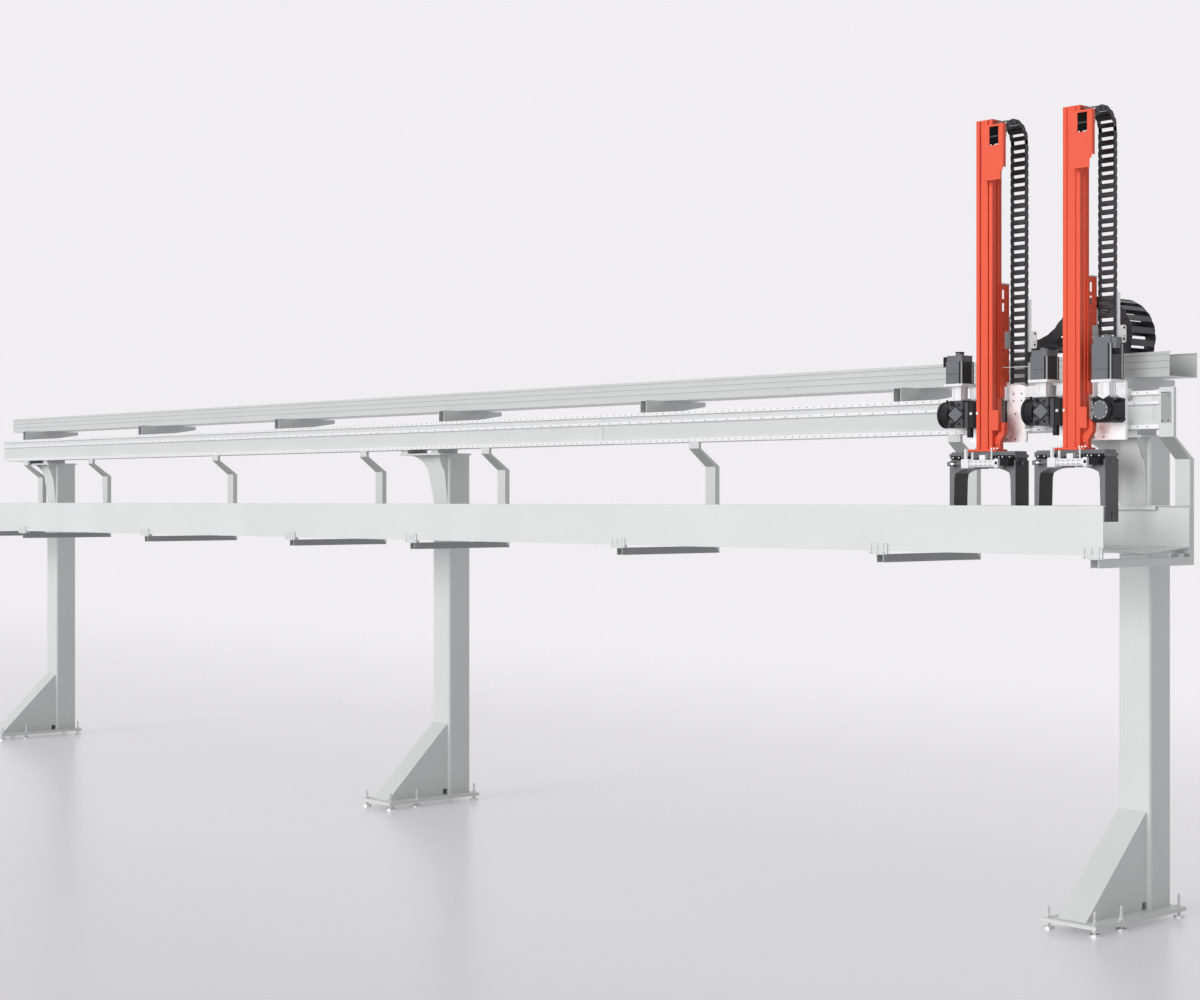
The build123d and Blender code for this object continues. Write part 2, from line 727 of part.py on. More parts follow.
def make_guide_shoes():
    """Slide shoes behind the plates: hooked over the upper rail and over the lower one."""
    back = PLATE_Y + PLATE_DEPTH
    reach = RAIL_FRONT + SHOE_REACH
    upper = (BEAM_TOP - RAIL_HEIGHT - RUN_GAP - SHOE_LIP, BEAM_TOP + RUN_GAP + SHOE_LIP)
    lower = (BEAM_BOTTOM, BEAM_BOTTOM + RAIL_HEIGHT + RUN_GAP + SHOE_LIP)
    with BuildPart() as guide_shoes:
        for robot in (0, 1):
            left, right = plate_span(robot)
            for x in (left + 4, right - 4 - SHOE_LENGTH):
                block((x, x + SHOE_LENGTH), (back, reach), upper)
                block(
                    (x, x + SHOE_LENGTH),
                    (RAIL_FRONT - RUN_GAP, reach),
                    (BEAM_TOP - RAIL_HEIGHT - RUN_GAP, BEAM_TOP + RUN_GAP),
                    Mode.SUBTRACT,
                )
                block((x, x + SHOE_LENGTH), (back, reach), lower)
                block(
                    (x, x + SHOE_LENGTH),
                    (RAIL_FRONT - RUN_GAP, reach),
                    (BEAM_BOTTOM, BEAM_BOTTOM + RAIL_HEIGHT + RUN_GAP),
                    Mode.SUBTRACT,
                )
    return guide_shoes.part


def make_z_guide_blocks():
    """Grooved blocks on the carriage plates that hold the rails of the vertical beams."""
    front = Z_BACK + Z_RAIL_DEPTH - BLOCK_REACH
    levels = (CARRIAGE_BOTTOM + 10, CARRIAGE_TOP - 10 - BLOCK_LENGTH)
    with BuildPart() as z_guide_blocks:
        for x in [xc + side * Z_RAIL_OFFSET for xc in ROBOT_X for side in (-1, 1)]:
            for z in levels:
                block((x - BLOCK_WIDTH / 2, x + BLOCK_WIDTH / 2), (front, PLATE_Y), (z, z + BLOCK_LENGTH))
                half = Z_RAIL_WIDTH / 2 + RUN_GAP
                groove = (front, Z_BACK + Z_RAIL_DEPTH + RUN_GAP)
                block((x - half, x + half), groove, (z, z + BLOCK_LENGTH), Mode.SUBTRACT)
    return z_guide_blocks.part


def make_motor(x, size, bottom, height, plug_side):
    """Square servo motor: recessed corners, smaller end cap, connectors on top and at one side."""
    half = size / 2
    body_top = bottom + height - CAP_HEIGHT
    with BuildPart() as motor:
        with BuildSketch(Plane.XY.offset(bottom)):
            with Locations((x, DRIVE_Y)):
                Rectangle(size, size)
                with GridLocations(size - MOTOR_RECESS / 2, size - MOTOR_RECESS / 2, 2, 2):
                    Rectangle(MOTOR_RECESS / 2, MOTOR_RECESS / 2, mode=Mode.SUBTRACT)
        extrude(amount=height - CAP_HEIGHT)
        with BuildSketch(Plane.XY.offset(body_top)):
            with Locations((x, DRIVE_Y)):
                RectangleRounded(size - 2 * CAP_STEP, size - 2 * CAP_STEP, CAP_CORNER)
        extrude(amount=CAP_HEIGHT)
        top = bottom + height
        plug_x = (x - PLUG_WIDTH / 2, x + PLUG_WIDTH / 2)
        block(plug_x, (DRIVE_Y - PLUG_DEPTH / 2, DRIVE_Y + PLUG_DEPTH / 2), (top, top + PLUG_HEIGHT))
        socket_x = sorted((x + plug_side * (half - CAP_STEP), x + plug_side * (half + SOCKET_REACH)))
        socket_y = (DRIVE_Y - half + CAP_CORNER, DRIVE_Y - half + CAP_CORNER + PLUG_DEPTH)
        block(socket_x, socket_y, (top - SOCKET_HEIGHT, top - CAP_STEP))
    return motor.part


def add_bell(x, bottom, height, flange):
    """Pale bell between a gearbox and its motor: foot, tube, four posts and the motor's flange."""
    bell_top = bottom + height
    block(
        (x - BELL_FOOT / 2, x + BELL_FOOT / 2),
        (DRIVE_Y - BELL_FOOT / 2, DRIVE_Y + BELL_FOOT / 2),
        (bottom, bottom + BELL_FOOT_THICK),
    )
    middle = (bottom + bell_top) / 2
    with Locations((x, DRIVE_Y, middle)):
        Cylinder(BELL_RADIUS, height)
        with GridLocations(BELL_POST_PLACE, BELL_POST_PLACE, 2, 2):
            Box(BELL_POST, BELL_POST, height)
    block(
        (x - flange / 2, x + flange / 2),
        (DRIVE_Y - flange / 2, DRIVE_Y + flange / 2),
        (bell_top, bell_top + FLANGE_THICK),
    )


def make_z_gearbox(x):
    """Right-angle gearbox: drum to the left, block with a diamond cover, pinion housing, bell."""
    top = GEARBOX_BOTTOM + GEARBOX_HEIGHT
    middle = GEARBOX_BOTTOM + GEARBOX_HEIGHT / 2
    left, right = x + Z_BLOCK_LEFT, x + Z_BLOCK_RIGHT
    rings = [
        (x + DRUM_LEFT, DRUM_RADIUS, DRUM_RING),
        (x + DRUM_LEFT + DRUM_RING, DRUM_RADIUS - DRUM_GROOVE, Z_BLOCK_LEFT - DRUM_LEFT - DRUM_RING),
    ]
    with BuildPart() as z_gearbox:
        block((left, right), (Z_BLOCK_FRONT, PLATE_Y), (GEARBOX_BOTTOM, top))
        for start, radius, length in rings:
            with BuildSketch(Plane.YZ.offset(start)):
                with Locations((DRIVE_Y, middle)):
                    Circle(radius)
            extrude(amount=length)
        with BuildSketch(Plane.XZ.offset(-Z_BLOCK_FRONT)):
            with Locations(((left + right) / 2, middle)):
                RegularPolygon(COVER_DIAMOND, 4)
        extrude(amount=COVER_PLATE)
        nose_back = Z_PINION_FRONT - RUN_GAP
        nose_right = x - Z_WIDTH / 2 - Z_RACK_WIDTH - 4
        block((right, nose_right), (NOSE_FRONT, nose_back), (GEARBOX_BOTTOM, top - COVER_PLATE))
        block(
            (x + NOSE_LEFT, x + NOSE_RIGHT),
            (NOSE_FRONT + COVER_PLATE, nose_back),
            (NOSE_BOTTOM, GEARBOX_BOTTOM),
        )
        add_bell(x + MOTOR_OFFSET, top, BELL_HEIGHT, FLANGE_SIZE)
    return z_gearbox.part


def make_z_pinion(x):
    """Pinion and shaft between the gearbox housing and the carriage plate."""
    xp = x - Z_PINION_OFFSET
    with BuildPart() as z_pinion:
        with BuildSketch(Plane.XZ.offset(-Z_PINION_FRONT)):
            with Locations((xp, Z_PINION_HEIGHT)):
                RegularPolygon(Z_PINION_RADIUS - RUN_GAP, PINION_SIDES)
        extrude(amount=-Z_PINION_WIDTH)
        with BuildSketch(Plane.XZ.offset(-Z_PINION_FRONT - Z_PINION_WIDTH)):
            with Locations((xp, Z_PINION_HEIGHT)):
                RegularPolygon(SHAFT_RADIUS, SHAFT_SIDES)
        extrude(amount=Z_PINION_FRONT + Z_PINION_WIDTH - PLATE_Y + RUN_GAP)
    return z_pinion.part


def make_x_gearbox():
    """Right-angle gearbox of the travel drive: round front cover, two side plugs and its bell."""
    x = ROBOT_X[1] + X_MOTOR_OFFSET
    axis = RACK_BOTTOM - X_PINION_RADIUS
    half = X_GEARBOX_SIZE / 2
    front = PLATE_Y - X_GEARBOX_DEPTH
    with BuildPart() as x_gearbox:
        block((x - half, x + half), (front, PLATE_Y), (axis - half, axis + half))
        chamfer(x_gearbox.edges().filter_by(Axis.Y), X_GEARBOX_CHAMFER)
        with BuildSketch(Plane.XZ.offset(-front)):
            with Locations((x, axis)):
                Circle(X_COVER_RADIUS)
        extrude(amount=X_COVER_THICK)
        with BuildSketch(Plane.YZ.offset(x + half)):
            with Locations((DRIVE_Y, axis - HANDLE_OFFSET), (DRIVE_Y, axis + HANDLE_OFFSET)):
                Circle(HANDLE_RADIUS)
        extrude(amount=HANDLE_REACH)
        add_bell(x, axis + half, X_BELL_HEIGHT, X_MOTOR_SIZE - 2)
    return x_gearbox.part


def make_x_pinion():
    """Travel pinion behind the plate, under the rack, on its shaft through the plate."""
    x = ROBOT_X[1] + X_MOTOR_OFFSET
    axis = RACK_BOTTOM - X_PINION_RADIUS
    with BuildPart() as x_pinion:
        with BuildSketch(Plane.XZ.offset(-RAIL_FRONT)):
            with Locations((x, axis)):
                RegularPolygon(X_PINION_RADIUS - RUN_GAP, PINION_SIDES)
        extrude(amount=-RAIL_DEPTH + RUN_GAP)
        with BuildSketch(Plane.XZ.offset(-RAIL_FRONT)):
            with Locations((x, axis)):
                RegularPolygon(SHAFT_RADIUS, SHAFT_SIDES)
        extrude(amount=RAIL_FRONT - PLATE_Y - RUN_GAP)
    return x_pinion.part


def link_corners(start, end, height, inset):
    """Corners of one chain link in its bending plane, between two joints (point, normal)."""
    (ax, ay), (anx, any_) = start
    (bx, by), (bnx, bny) = end
    length = hypot(bx - ax, by - ay)
    tx, ty = (bx - ax) / length * inset, (by - ay) / length * inset
    half = height / 2
    return [
        (ax - anx * half + tx, ay - any_ * half + ty),
        (bx - bnx * half - tx, by - bny * half - ty),
        (bx + bnx * half - tx, by + bny * half - ty),
        (ax + anx * half + tx, ay + any_ * half + ty),
    ]


def make_chain(plane, joints, height, width, wall, bar=None):
    """Chain links along the joints: two side plates and, inside and outside, a crossbar.

    The crossbars are as long as bar along the chain. Without it, they close the link.
    """
    links = []
    for start, end in zip(joints, joints[1:]):
        with BuildPart() as link:
            with BuildSketch(plane):
                with BuildLine():
                    Polyline(*link_corners(start, end, height, LINK_GAP), close=True)
                make_face()
            extrude(amount=width)
            with BuildSketch(plane.offset(wall)):
                with BuildLine():
                    Polyline(*link_corners(start, end, height - 2 * wall, -1), close=True)
                make_face()
                if bar:
                    (ax, ay), (bx, by) = start[0], end[0]
                    open_part = (hypot(bx - ax, by - ay) - bar) / 2
                    for near, far in ((start, end), (end, start)):
                        with BuildLine():
                            Polyline(*window_corners(near, far, height, open_part), close=True)
                        make_face()
            extrude(amount=width - 2 * wall, mode=Mode.SUBTRACT)
        links.extend(link.solids())
    return Compound(links)


def window_corners(near, far, height, length):
    """Corners of the open part of a link beside its joint near, right through its height."""
    (ax, ay), (anx, any_) = near
    (bx, by), (bnx, bny) = far
    share = length / hypot(bx - ax, by - ay)
    mx, my = ax + (bx - ax) * share, ay + (by - ay) * share
    mnx, mny = anx + (bnx - anx) * share, any_ + (bny - any_) * share
    ox, oy = ax - (bx - ax) * share, ay - (by - ay) * share
    return [
        (ox - anx * height, oy - any_ * height),
        (mx - mnx * height, my - mny * height),
        (mx + mnx * height, my + mny * height),
        (ox + anx * height, oy + any_ * height),
    ]


def arc_joints(centre, radius, start, sweep, count):
    """Chain joints along an arc in degrees, with their normals pointing outwards."""
    angles = [radians(start + sweep * index / count) for index in range(count + 1)]
    return [
        ((centre[0] + radius * cos(a), centre[1] + radius * sin(a)), (cos(a), sin(a)))
        for a in angles
    ]


def line_joints(start, end, normal, count):
    """Chain joints along a straight run."""
    steps = [index / count for index in range(count + 1)]
    return [
        ((start[0] + (end[0] - start[0]) * s, start[1] + (end[1] - start[1]) * s), normal)
        for s in steps
    ]


# Heights and places that the carriage's chain takes from the trough and its own size
X_LOOP_Z = TROUGH_BOTTOM + TROUGH_WALL + RUN_GAP + X_CHAIN_RADIUS + X_CHAIN_HEIGHT / 2
X_CHAIN_TOP = X_LOOP_Z + X_CHAIN_RADIUS
X_CHAIN_LOW = X_LOOP_Z - X_CHAIN_RADIUS
X_CHAIN_PLANE = Plane.XZ.offset(-X_CHAIN_FRONT - X_CHAIN_WIDTH)


def make_x_chain_loop():
    """Half-turn of the carriage's chain, open towards its runs."""
    count = round(pi * X_CHAIN_RADIUS / X_LINK)
    joints = arc_joints((X_LOOP_X, X_LOOP_Z), X_CHAIN_RADIUS, 90, -180, count)
    size = (X_CHAIN_HEIGHT, X_CHAIN_WIDTH, X_CHAIN_WALL)
    return make_chain(X_CHAIN_PLANE, joints, *size, X_CHAIN_BAR)


def make_x_chain_upper_run():
    """The run that sags in an S from the top of the loop to the carriage's shelf."""
    run = X_LOOP_X - X_CHAIN_END
    drop = X_CHAIN_TOP - X_CHAIN_END_Z
    radius = (run**2 + drop**2) / (4 * drop)
    turn = degrees(atan2(run / 2, radius - drop / 2))
    count = round(radians(turn) * radius / X_LINK)
    upper = arc_joints((X_LOOP_X, X_CHAIN_TOP - radius), radius, 90, turn, count)
    lower = arc_joints((X_CHAIN_END, X_CHAIN_END_Z + radius), radius, turn - 90, -turn, count)
    lower = [(point, (-nx, -ny)) for point, (nx, ny) in lower]
    joints = upper + lower[1:]
    size = (X_CHAIN_HEIGHT, X_CHAIN_WIDTH, X_CHAIN_WALL)
    return make_chain(X_CHAIN_PLANE, joints, *size, X_CHAIN_BAR)


def make_x_chain_lower_run():
    """The run that lies in the trough, from its fixed end to the loop."""
    joints = line_joints((X_CHAIN_FIXED, X_CHAIN_LOW), (X_LOOP_X, X_CHAIN_LOW), (0, -1), 4)
    return make_chain(X_CHAIN_PLANE, joints, X_CHAIN_HEIGHT, X_CHAIN_WIDTH, X_CHAIN_WALL)


def make_x_chain_shelf():
    """Bracket that stands on the first carriage plate and reaches back over the trough."""
    top = X_CHAIN_END_Z - X_CHAIN_HEIGHT / 2
    left = X_CHAIN_END - SHELF_WIDTH
    with BuildPart() as x_chain_shelf:
        block((left, X_CHAIN_END), (PLATE_Y, PLATE_Y + SHELF_THICK), (CARRIAGE_TOP, top))
        back = X_CHAIN_FRONT + X_CHAIN_WIDTH + SHELF_THICK
        block((left, X_CHAIN_END), (PLATE_Y, back), (top - SHELF_THICK, top))
        cheek_top = X_CHAIN_END_Z + X_CHAIN_HEIGHT / 2
        block((left, X_CHAIN_END), (back - SHELF_THICK, back), (top, cheek_top))
        block(
            (left, X_CHAIN_END),
            (X_CHAIN_FRONT - SHELF_THICK, X_CHAIN_FRONT),
            (top, cheek_top),
        )
        block(
            (left, left + SHELF_THICK),
            (X_CHAIN_FRONT, back - SHELF_THICK),
            (top, cheek_top),
        )
    return x_chain_shelf.part


def make_z_chain_loop(x):
    """Half-turn of a vertical axis's chain and the short tail down to its moving end."""
    front_y = Z_CHAIN_BACK_Y - 2 * Z_CHAIN_RADIUS
    centre_y = Z_CHAIN_BACK_Y - Z_CHAIN_RADIUS
    count = round(pi * Z_CHAIN_RADIUS / Z_LINK)
    tail = line_joints(
        (front_y, Z_LOOP_Z - Z_CHAIN_TAIL), (front_y, Z_LOOP_Z), (-1, 0), round(Z_CHAIN_TAIL / Z_LINK)
    )
    turn = arc_joints((centre_y, Z_LOOP_Z), Z_CHAIN_RADIUS, 180, -180, count)
    plane = Plane.YZ.offset(x + Z_CHAIN_LEFT)
    size = (Z_CHAIN_HEIGHT, Z_CHAIN_WIDTH, Z_CHAIN_WALL)
    return make_chain(plane, tail + turn[1:], *size, Z_CHAIN_BAR)


def make_z_chain_run(x):
    """Straight run of that chain, from the carriage up to the loop."""
    count = round((Z_LOOP_Z - Z_CHAIN_START) / Z_LINK)
    joints = line_joints((Z_CHAIN_BACK_Y, Z_CHAIN_START), (Z_CHAIN_BACK_Y, Z_LOOP_Z), (1, 0), count)
    plane = Plane.YZ.offset(x + Z_CHAIN_LEFT)
    size = (Z_CHAIN_HEIGHT, Z_CHAIN_WIDTH, Z_CHAIN_WALL)
    return make_chain(plane, joints, *size, Z_CHAIN_BAR)


def make_z_chain_post(x):
    """Slotted upright beside the vertical beam, on its foot against the carriage plate."""
    left = x + Z_WIDTH / 2 + POST_GAP
    with BuildPart() as z_chain_post:
        with BuildSketch(Plane.YZ.offset(left)):
            with BuildLine():
                Polyline(
                    (PLATE_Y - 60, CARRIAGE_TOP - POST_FOOT),
                    (PLATE_Y, CARRIAGE_TOP - POST_FOOT),
                    (PLATE_Y, CARRIAGE_TOP),
                    (PLATE_Y - 15, CARRIAGE_TOP + 15),
                    (PLATE_Y - 15, POST_TOP),
                    (PLATE_Y - 15 - POST_DEPTH, POST_TOP),
                    close=True,
                )
            make_face()
            with Locations((PLATE_Y - 37, POST_TOP - 60), (PLATE_Y - 37, POST_TOP - 150)):
                SlotOverall(60, 10, rotation=90, mode=Mode.SUBTRACT)
        extrude(amount=POST_WIDTH)
    return z_chain_post.part


def make_z_chain_guide(x):
    """Bent sheet guide: the chain's foot on the plate's top, a cheek with an ear, a left strip."""
    left = x + Z_CHAIN_LEFT
    right = left + Z_CHAIN_WIDTH
    half = Z_CHAIN_HEIGHT / 2
    foot_back = Z_CHAIN_BACK_Y + half
    cheek = right + RUN_GAP
    with BuildPart() as z_chain_guide:
        block((left - LEFT_STRIP, cheek), (PLATE_Y, foot_back), (CARRIAGE_TOP, Z_CHAIN_START))
        block((cheek, cheek + GUIDE_SHEET), (foot_back - GUIDE_DEPTH, foot_back), (CARRIAGE_TOP, GUIDE_TOP))
        block(
            (left - LEFT_STRIP, left - RUN_GAP),
            (foot_back - GUIDE_DEPTH, foot_back - GUIDE_DEPTH + GUIDE_SHEET),
            (Z_CHAIN_START, LEFT_STRIP_TOP),
        )
        with BuildSketch(Plane.XZ.offset(-foot_back)) as sheet:
            with BuildLine():
                Polyline(
                    (cheek, Z_CHAIN_START),
                    (cheek, GUIDE_TOP),
                    (cheek + GUIDE_STRIP, GUIDE_TOP),
                    (cheek + GUIDE_STRIP, EAR_TOP),
                    (cheek + EAR_WIDTH, EAR_TOP),
                    (cheek + EAR_WIDTH, EAR_BOTTOM),
                    (cheek + GUIDE_STRIP, EAR_BOTTOM),
                    (cheek + GUIDE_STRIP, Z_CHAIN_START),
                    close=True,
                )
            make_face()
            ear_ends = sheet.vertices().group_by(Axis.X)[-1]
            fillet(ear_ends, EAR_CORNER)
            hole_x = cheek + EAR_WIDTH - EAR_CORNER
            with Locations((hole_x, EAR_TOP - EAR_CORNER), (hole_x, EAR_BOTTOM + 3 * EAR_CORNER)):
                Circle(EAR_HOLE, mode=Mode.SUBTRACT)
        extrude(amount=GUIDE_SHEET)
    return z_chain_guide.part


def make_z_beam(x):
    """Extruded vertical beam with T-grooves, hollow cores and a stop plate at its lower right."""
    half = Z_WIDTH / 2
    mid_y = Z_FRONT + Z_DEPTH / 2
    with BuildPart() as z_beam:
        with BuildSketch(Plane.XY.offset(Z_BOTTOM)):
            with Locations((x, mid_y)):
                Rectangle(Z_WIDTH, Z_DEPTH)
            for side in (-1, 1):
                with Locations((x + side * half / 2, Z_FRONT + SLOT_LIP / 2)):
                    Rectangle(SLOT_MOUTH, SLOT_LIP, mode=Mode.SUBTRACT)
                with Locations((x + side * half / 2, Z_FRONT + (SLOT_LIP + SLOT_DEPTH) / 2)):
                    Rectangle(SLOT_WIDTH, SLOT_DEPTH - SLOT_LIP, mode=Mode.SUBTRACT)
                with Locations((x + side * half / 2, mid_y + 3)):
                    Rectangle(Z_CORE, Z_CORE, mode=Mode.SUBTRACT)
            with Locations((x + half - SLOT_LIP / 2, mid_y)):
                Rectangle(SLOT_LIP, SLOT_MOUTH, mode=Mode.SUBTRACT)
            with Locations((x + half - (SLOT_LIP + SLOT_DEPTH) / 2, mid_y)):
                Rectangle(SLOT_DEPTH - SLOT_LIP, SLOT_WIDTH, mode=Mode.SUBTRACT)
        extrude(amount=Z_TOP - Z_BOTTOM)
        stop = (STOP_BOTTOM, STOP_BOTTOM + STOP_HEIGHT)
        block((x + STOP_LEFT, x + STOP_RIGHT), (Z_FRONT - STOP_SHEET, Z_FRONT), stop)
        block((x + half, x + STOP_RIGHT), (Z_FRONT, Z_FRONT + STOP_DEPTH), stop)
        with BuildSketch(Plane.XZ.offset(-ELBOW_Y - ELBOW_DEPTH)):
            with BuildLine():
                Polyline(*[(x + half + along, height) for along, height in ELBOW_OUTLINE], close=True)
            make_face()
        extrude(amount=ELBOW_DEPTH)
    return z_beam.part


def make_z_rails(x):
    """Two guide rails on the back of the vertical beam."""
    with BuildPart() as z_rails:
        for side in (-1, 1):
            middle = x + side * Z_RAIL_OFFSET
            block(
                (middle - Z_RAIL_WIDTH / 2, middle + Z_RAIL_WIDTH / 2),
                (Z_BACK, Z_BACK + Z_RAIL_DEPTH),
                (Z_BOTTOM + 10, Z_TOP - 10),
            )
    return z_rails.part


def make_z_rack(x):
    """Rack on the left side of the vertical beam."""
    right = x - Z_WIDTH / 2
    back = Z_PINION_FRONT + Z_RACK_DEPTH
    with BuildPart() as z_rack:
        block((right - Z_RACK_WIDTH, right), (Z_PINION_FRONT, back), (Z_BOTTOM + 10, Z_TOP - 10))
    return z_rack.part


def make_top_cover(x):
    """Bent sheet cover: front with a window, left flange to the beam, rounded right cheek."""
    front = (COVER_FRONT, COVER_FRONT + COVER_SHEET)
    height = (COVER_BOTTOM, COVER_TOP)
    with BuildPart() as top_cover:
        block((x + COVER_LEFT, x + COVER_RIGHT), front, height)
        block((x + COVER_LEFT, x + COVER_LEFT + COVER_SHEET), (COVER_FRONT, Z_FRONT), height)
        with BuildSketch(Plane.YZ.offset(x + COVER_RIGHT - COVER_SHEET)) as cheek:
            with Locations(((COVER_FRONT + COVER_CHEEK) / 2, (COVER_BOTTOM + COVER_TOP) / 2)):
                Rectangle(COVER_CHEEK - COVER_FRONT, COVER_TOP - COVER_BOTTOM)
            low_back = cheek.vertices().group_by(Axis.Z)[0].sort_by(Axis.Y)[-1]
            fillet(low_back, CHEEK_CORNER)
        extrude(amount=COVER_SHEET)
        window = (x + WINDOW_LEFT, x + WINDOW_LEFT + WINDOW_WIDTH)
        block(window, front, (WINDOW_BOTTOM, WINDOW_BOTTOM + WINDOW_HEIGHT), Mode.SUBTRACT)
    return top_cover.part


def make_rail_plate(x):
    """Square flange under the vertical beam, on the wide two-step plate that the jaws slide on."""
    back = RAIL_PLATE_FRONT + RAIL_PLATE_DEPTH
    with BuildPart() as rail_plate:
        block(
            (x - HEAD_FLANGE_HALF, x + HEAD_FLANGE_HALF),
            (RAIL_PLATE_FRONT, RAIL_PLATE_FRONT + HEAD_FLANGE_DEPTH),
            (HEAD_FLANGE_BOTTOM, Z_BOTTOM),
        )
        block(
            (x - RAIL_PLATE_HALF, x + RAIL_PLATE_HALF),
            (RAIL_PLATE_FRONT, back),
            (RAIL_PLATE_BOTTOM, RAIL_PLATE_BOTTOM + RAIL_PLATE_THICK / 2),
        )
        block(
            (x - RAIL_PLATE_HALF + 8, x + RAIL_PLATE_HALF - 8),
            (RAIL_PLATE_FRONT + 8, back - 8),
            (RAIL_PLATE_BOTTOM + RAIL_PLATE_THICK / 2, HEAD_FLANGE_BOTTOM),
        )
    return rail_plate.part


def make_gripper_cylinder(x):
    """Pneumatic cylinder along the front of the rail plate: end caps, bore, ports and fittings."""
    z = CYLINDER_Z
    cap = 2 * CYLINDER_RADIUS
    left, right = x + CYLINDER_LEFT, x + CYLINDER_RIGHT
    top = z + CYLINDER_RADIUS
    with BuildPart() as gripper_cylinder:
        with BuildSketch(Plane.YZ.offset(left)):
            with Locations((CYLINDER_Y, z)):
                RectangleRounded(cap - 2 * CAP_STEP, cap - 2 * CAP_STEP, CAP_CORNER)
        extrude(amount=right - left)
        for end, length in ((left, CYLINDER_CAP), (right - CYLINDER_CAP / 2, CYLINDER_CAP / 2)):
            with BuildSketch(Plane.YZ.offset(end)):
                with Locations((CYLINDER_Y, z)):
                    RectangleRounded(cap, cap, CAP_STEP)
            extrude(amount=length)
        with BuildSketch(Plane.YZ.offset(left)):
            with Locations((CYLINDER_Y, z)):
                RegularPolygon(ROD_RADIUS + ROD_CLEARANCE, FOOT_SIDES)
        extrude(amount=ROD_BORE, mode=Mode.SUBTRACT)
        middle = (left + right) / 2
        block((middle - 20, middle + 20), (CYLINDER_Y, RAIL_PLATE_FRONT), (z, RAIL_PLATE_BOTTOM + 15))
        port_foot = z + 2 * ROD_RADIUS
        for place, radius, height in PORTS:
            with BuildSketch(Plane.XY.offset(port_foot)):
                with Locations((x + place, CYLINDER_Y)):
                    RegularPolygon(radius, STUD_SIDES)
            extrude(amount=height - port_foot)
        block(
            (right, x + FITTING_RIGHT),
            (CYLINDER_Y - ROD_RADIUS, CYLINDER_Y + CYLINDER_RADIUS),
            (z - CYLINDER_RADIUS / 2, top),
        )
    return gripper_cylinder.part


def make_jaw(x, side):
    """Jaw: sliding arm with a flat arch, tapering leg and a keyhole in its tip.

    The left jaw carries the lug with the cylinder's rod, the right one a short nub.
    """
    outer = x + side * RAIL_PLATE_HALF
    top = RAIL_PLATE_BOTTOM - RUN_GAP
    root = outer - side * JAW_ROOT
    arch_end = outer - side * JAW_ARCH
    arch_middle = ((root + arch_end) / 2, (JAW_ROOT_HEIGHT + JAW_ARM_BOTTOM) / 2 + JAW_ARCH / 20)
    middle_y = RAIL_PLATE_FRONT + RAIL_PLATE_DEPTH / 2
    with BuildPart() as jaw:
        with BuildSketch(Plane.XZ.offset(-RAIL_PLATE_FRONT - RAIL_PLATE_DEPTH)):
            with BuildLine():
                Polyline(
                    (arch_end, JAW_ARM_BOTTOM),
                    (outer - side * JAW_REACH, JAW_ARM_BOTTOM),
                    (outer - side * JAW_REACH, top),
                    (outer, top),
                    (outer, JAW_BOTTOM),
                    (outer - side * JAW_TIP, JAW_BOTTOM),
                    (outer - side * JAW_KNEE, JAW_KNEE_HEIGHT),
                    (root, JAW_ROOT_HEIGHT),
                )
                ThreePointArc((root, JAW_ROOT_HEIGHT), arch_middle, (arch_end, JAW_ARM_BOTTOM))
            make_face()
        extrude(amount=RAIL_PLATE_DEPTH)
        for slot in (RAIL_PLATE_FRONT, RAIL_PLATE_FRONT + RAIL_PLATE_DEPTH - JAW_STEP):
            block(
                (outer - RAIL_PLATE_HALF, outer + RAIL_PLATE_HALF),
                (slot, slot + JAW_STEP),
                (top - JAW_STEP, top),
                Mode.SUBTRACT,
            )
        with BuildSketch(Plane.YZ.offset(min(outer, root))):
            with Locations((middle_y, JAW_BOTTOM + KEYHOLE_HEIGHT)):
                Circle(KEYHOLE_RADIUS)
            with Locations((middle_y, JAW_BOTTOM + KEYHOLE_HEIGHT / 2)):
                Rectangle(KEYHOLE_SLOT, KEYHOLE_HEIGHT)
        extrude(amount=JAW_ROOT, mode=Mode.SUBTRACT)
        if side < 0:
            lug_z = (CYLINDER_Z - LUG_HEIGHT / 2, CYLINDER_Z + LUG_HEIGHT / 2)
            lug_y = (CYLINDER_Y - 2 * ROD_RADIUS, RAIL_PLATE_FRONT)
            block((x + LUG_LEFT, x + LUG_RIGHT), lug_y, lug_z)
            with BuildSketch(Plane.YZ.offset(x + LUG_LEFT)):
                with Locations((CYLINDER_Y, CYLINDER_Z)):
                    RegularPolygon(ROD_RADIUS, FOOT_SIDES)
            extrude(amount=ROD_START - LUG_LEFT)
        else:
            with BuildSketch(Plane.YZ.offset(outer)):
                with Locations((NUB_Y, CYLINDER_Z)):
                    Circle(NUB_RADIUS)
            extrude(amount=NUB_LENGTH)
    return jaw.part


for number, column_x in enumerate(COLUMN_X, start=1):
    save(make_column(column_x), f"column_{number}")
save(make_levelling_feet(), "levelling_feet")
for number in range(BEAM_SEGMENTS):
    save(make_beam_segment(number), f"beam_segment_{number + 1}")
save(make_strip(BEAM_TOP - RAIL_HEIGHT, RAIL_HEIGHT), "rail_upper")
save(make_strip(BEAM_BOTTOM, RAIL_HEIGHT), "rail_lower")
save(make_strip(RACK_BOTTOM, RACK_HEIGHT), "x_rack")
save(make_cable_trough(), "cable_trough")
save(make_trough_arms(), "trough_arms")
save(make_tray_brackets([BEAM_LENGTH / 2], BEAM_TOP + 15), "tray_bracket_end")
save(make_tray_brackets(BRACKET_X, BEAM_BOTTOM - RUN_GAP), "tray_brackets")
save(make_tray_wall(TRAY_FRONT + TRAY_SHEET, -1), "tray_front_wall")
save(make_tray_wall(TRAY_BACK - TRAY_SHEET, 1), "tray_back_wall")
save(make_tray_floor(), "tray_floor")
save(make_tray_supports(), "tray_supports")
save(make_coupling_bar(), "coupling_bar")
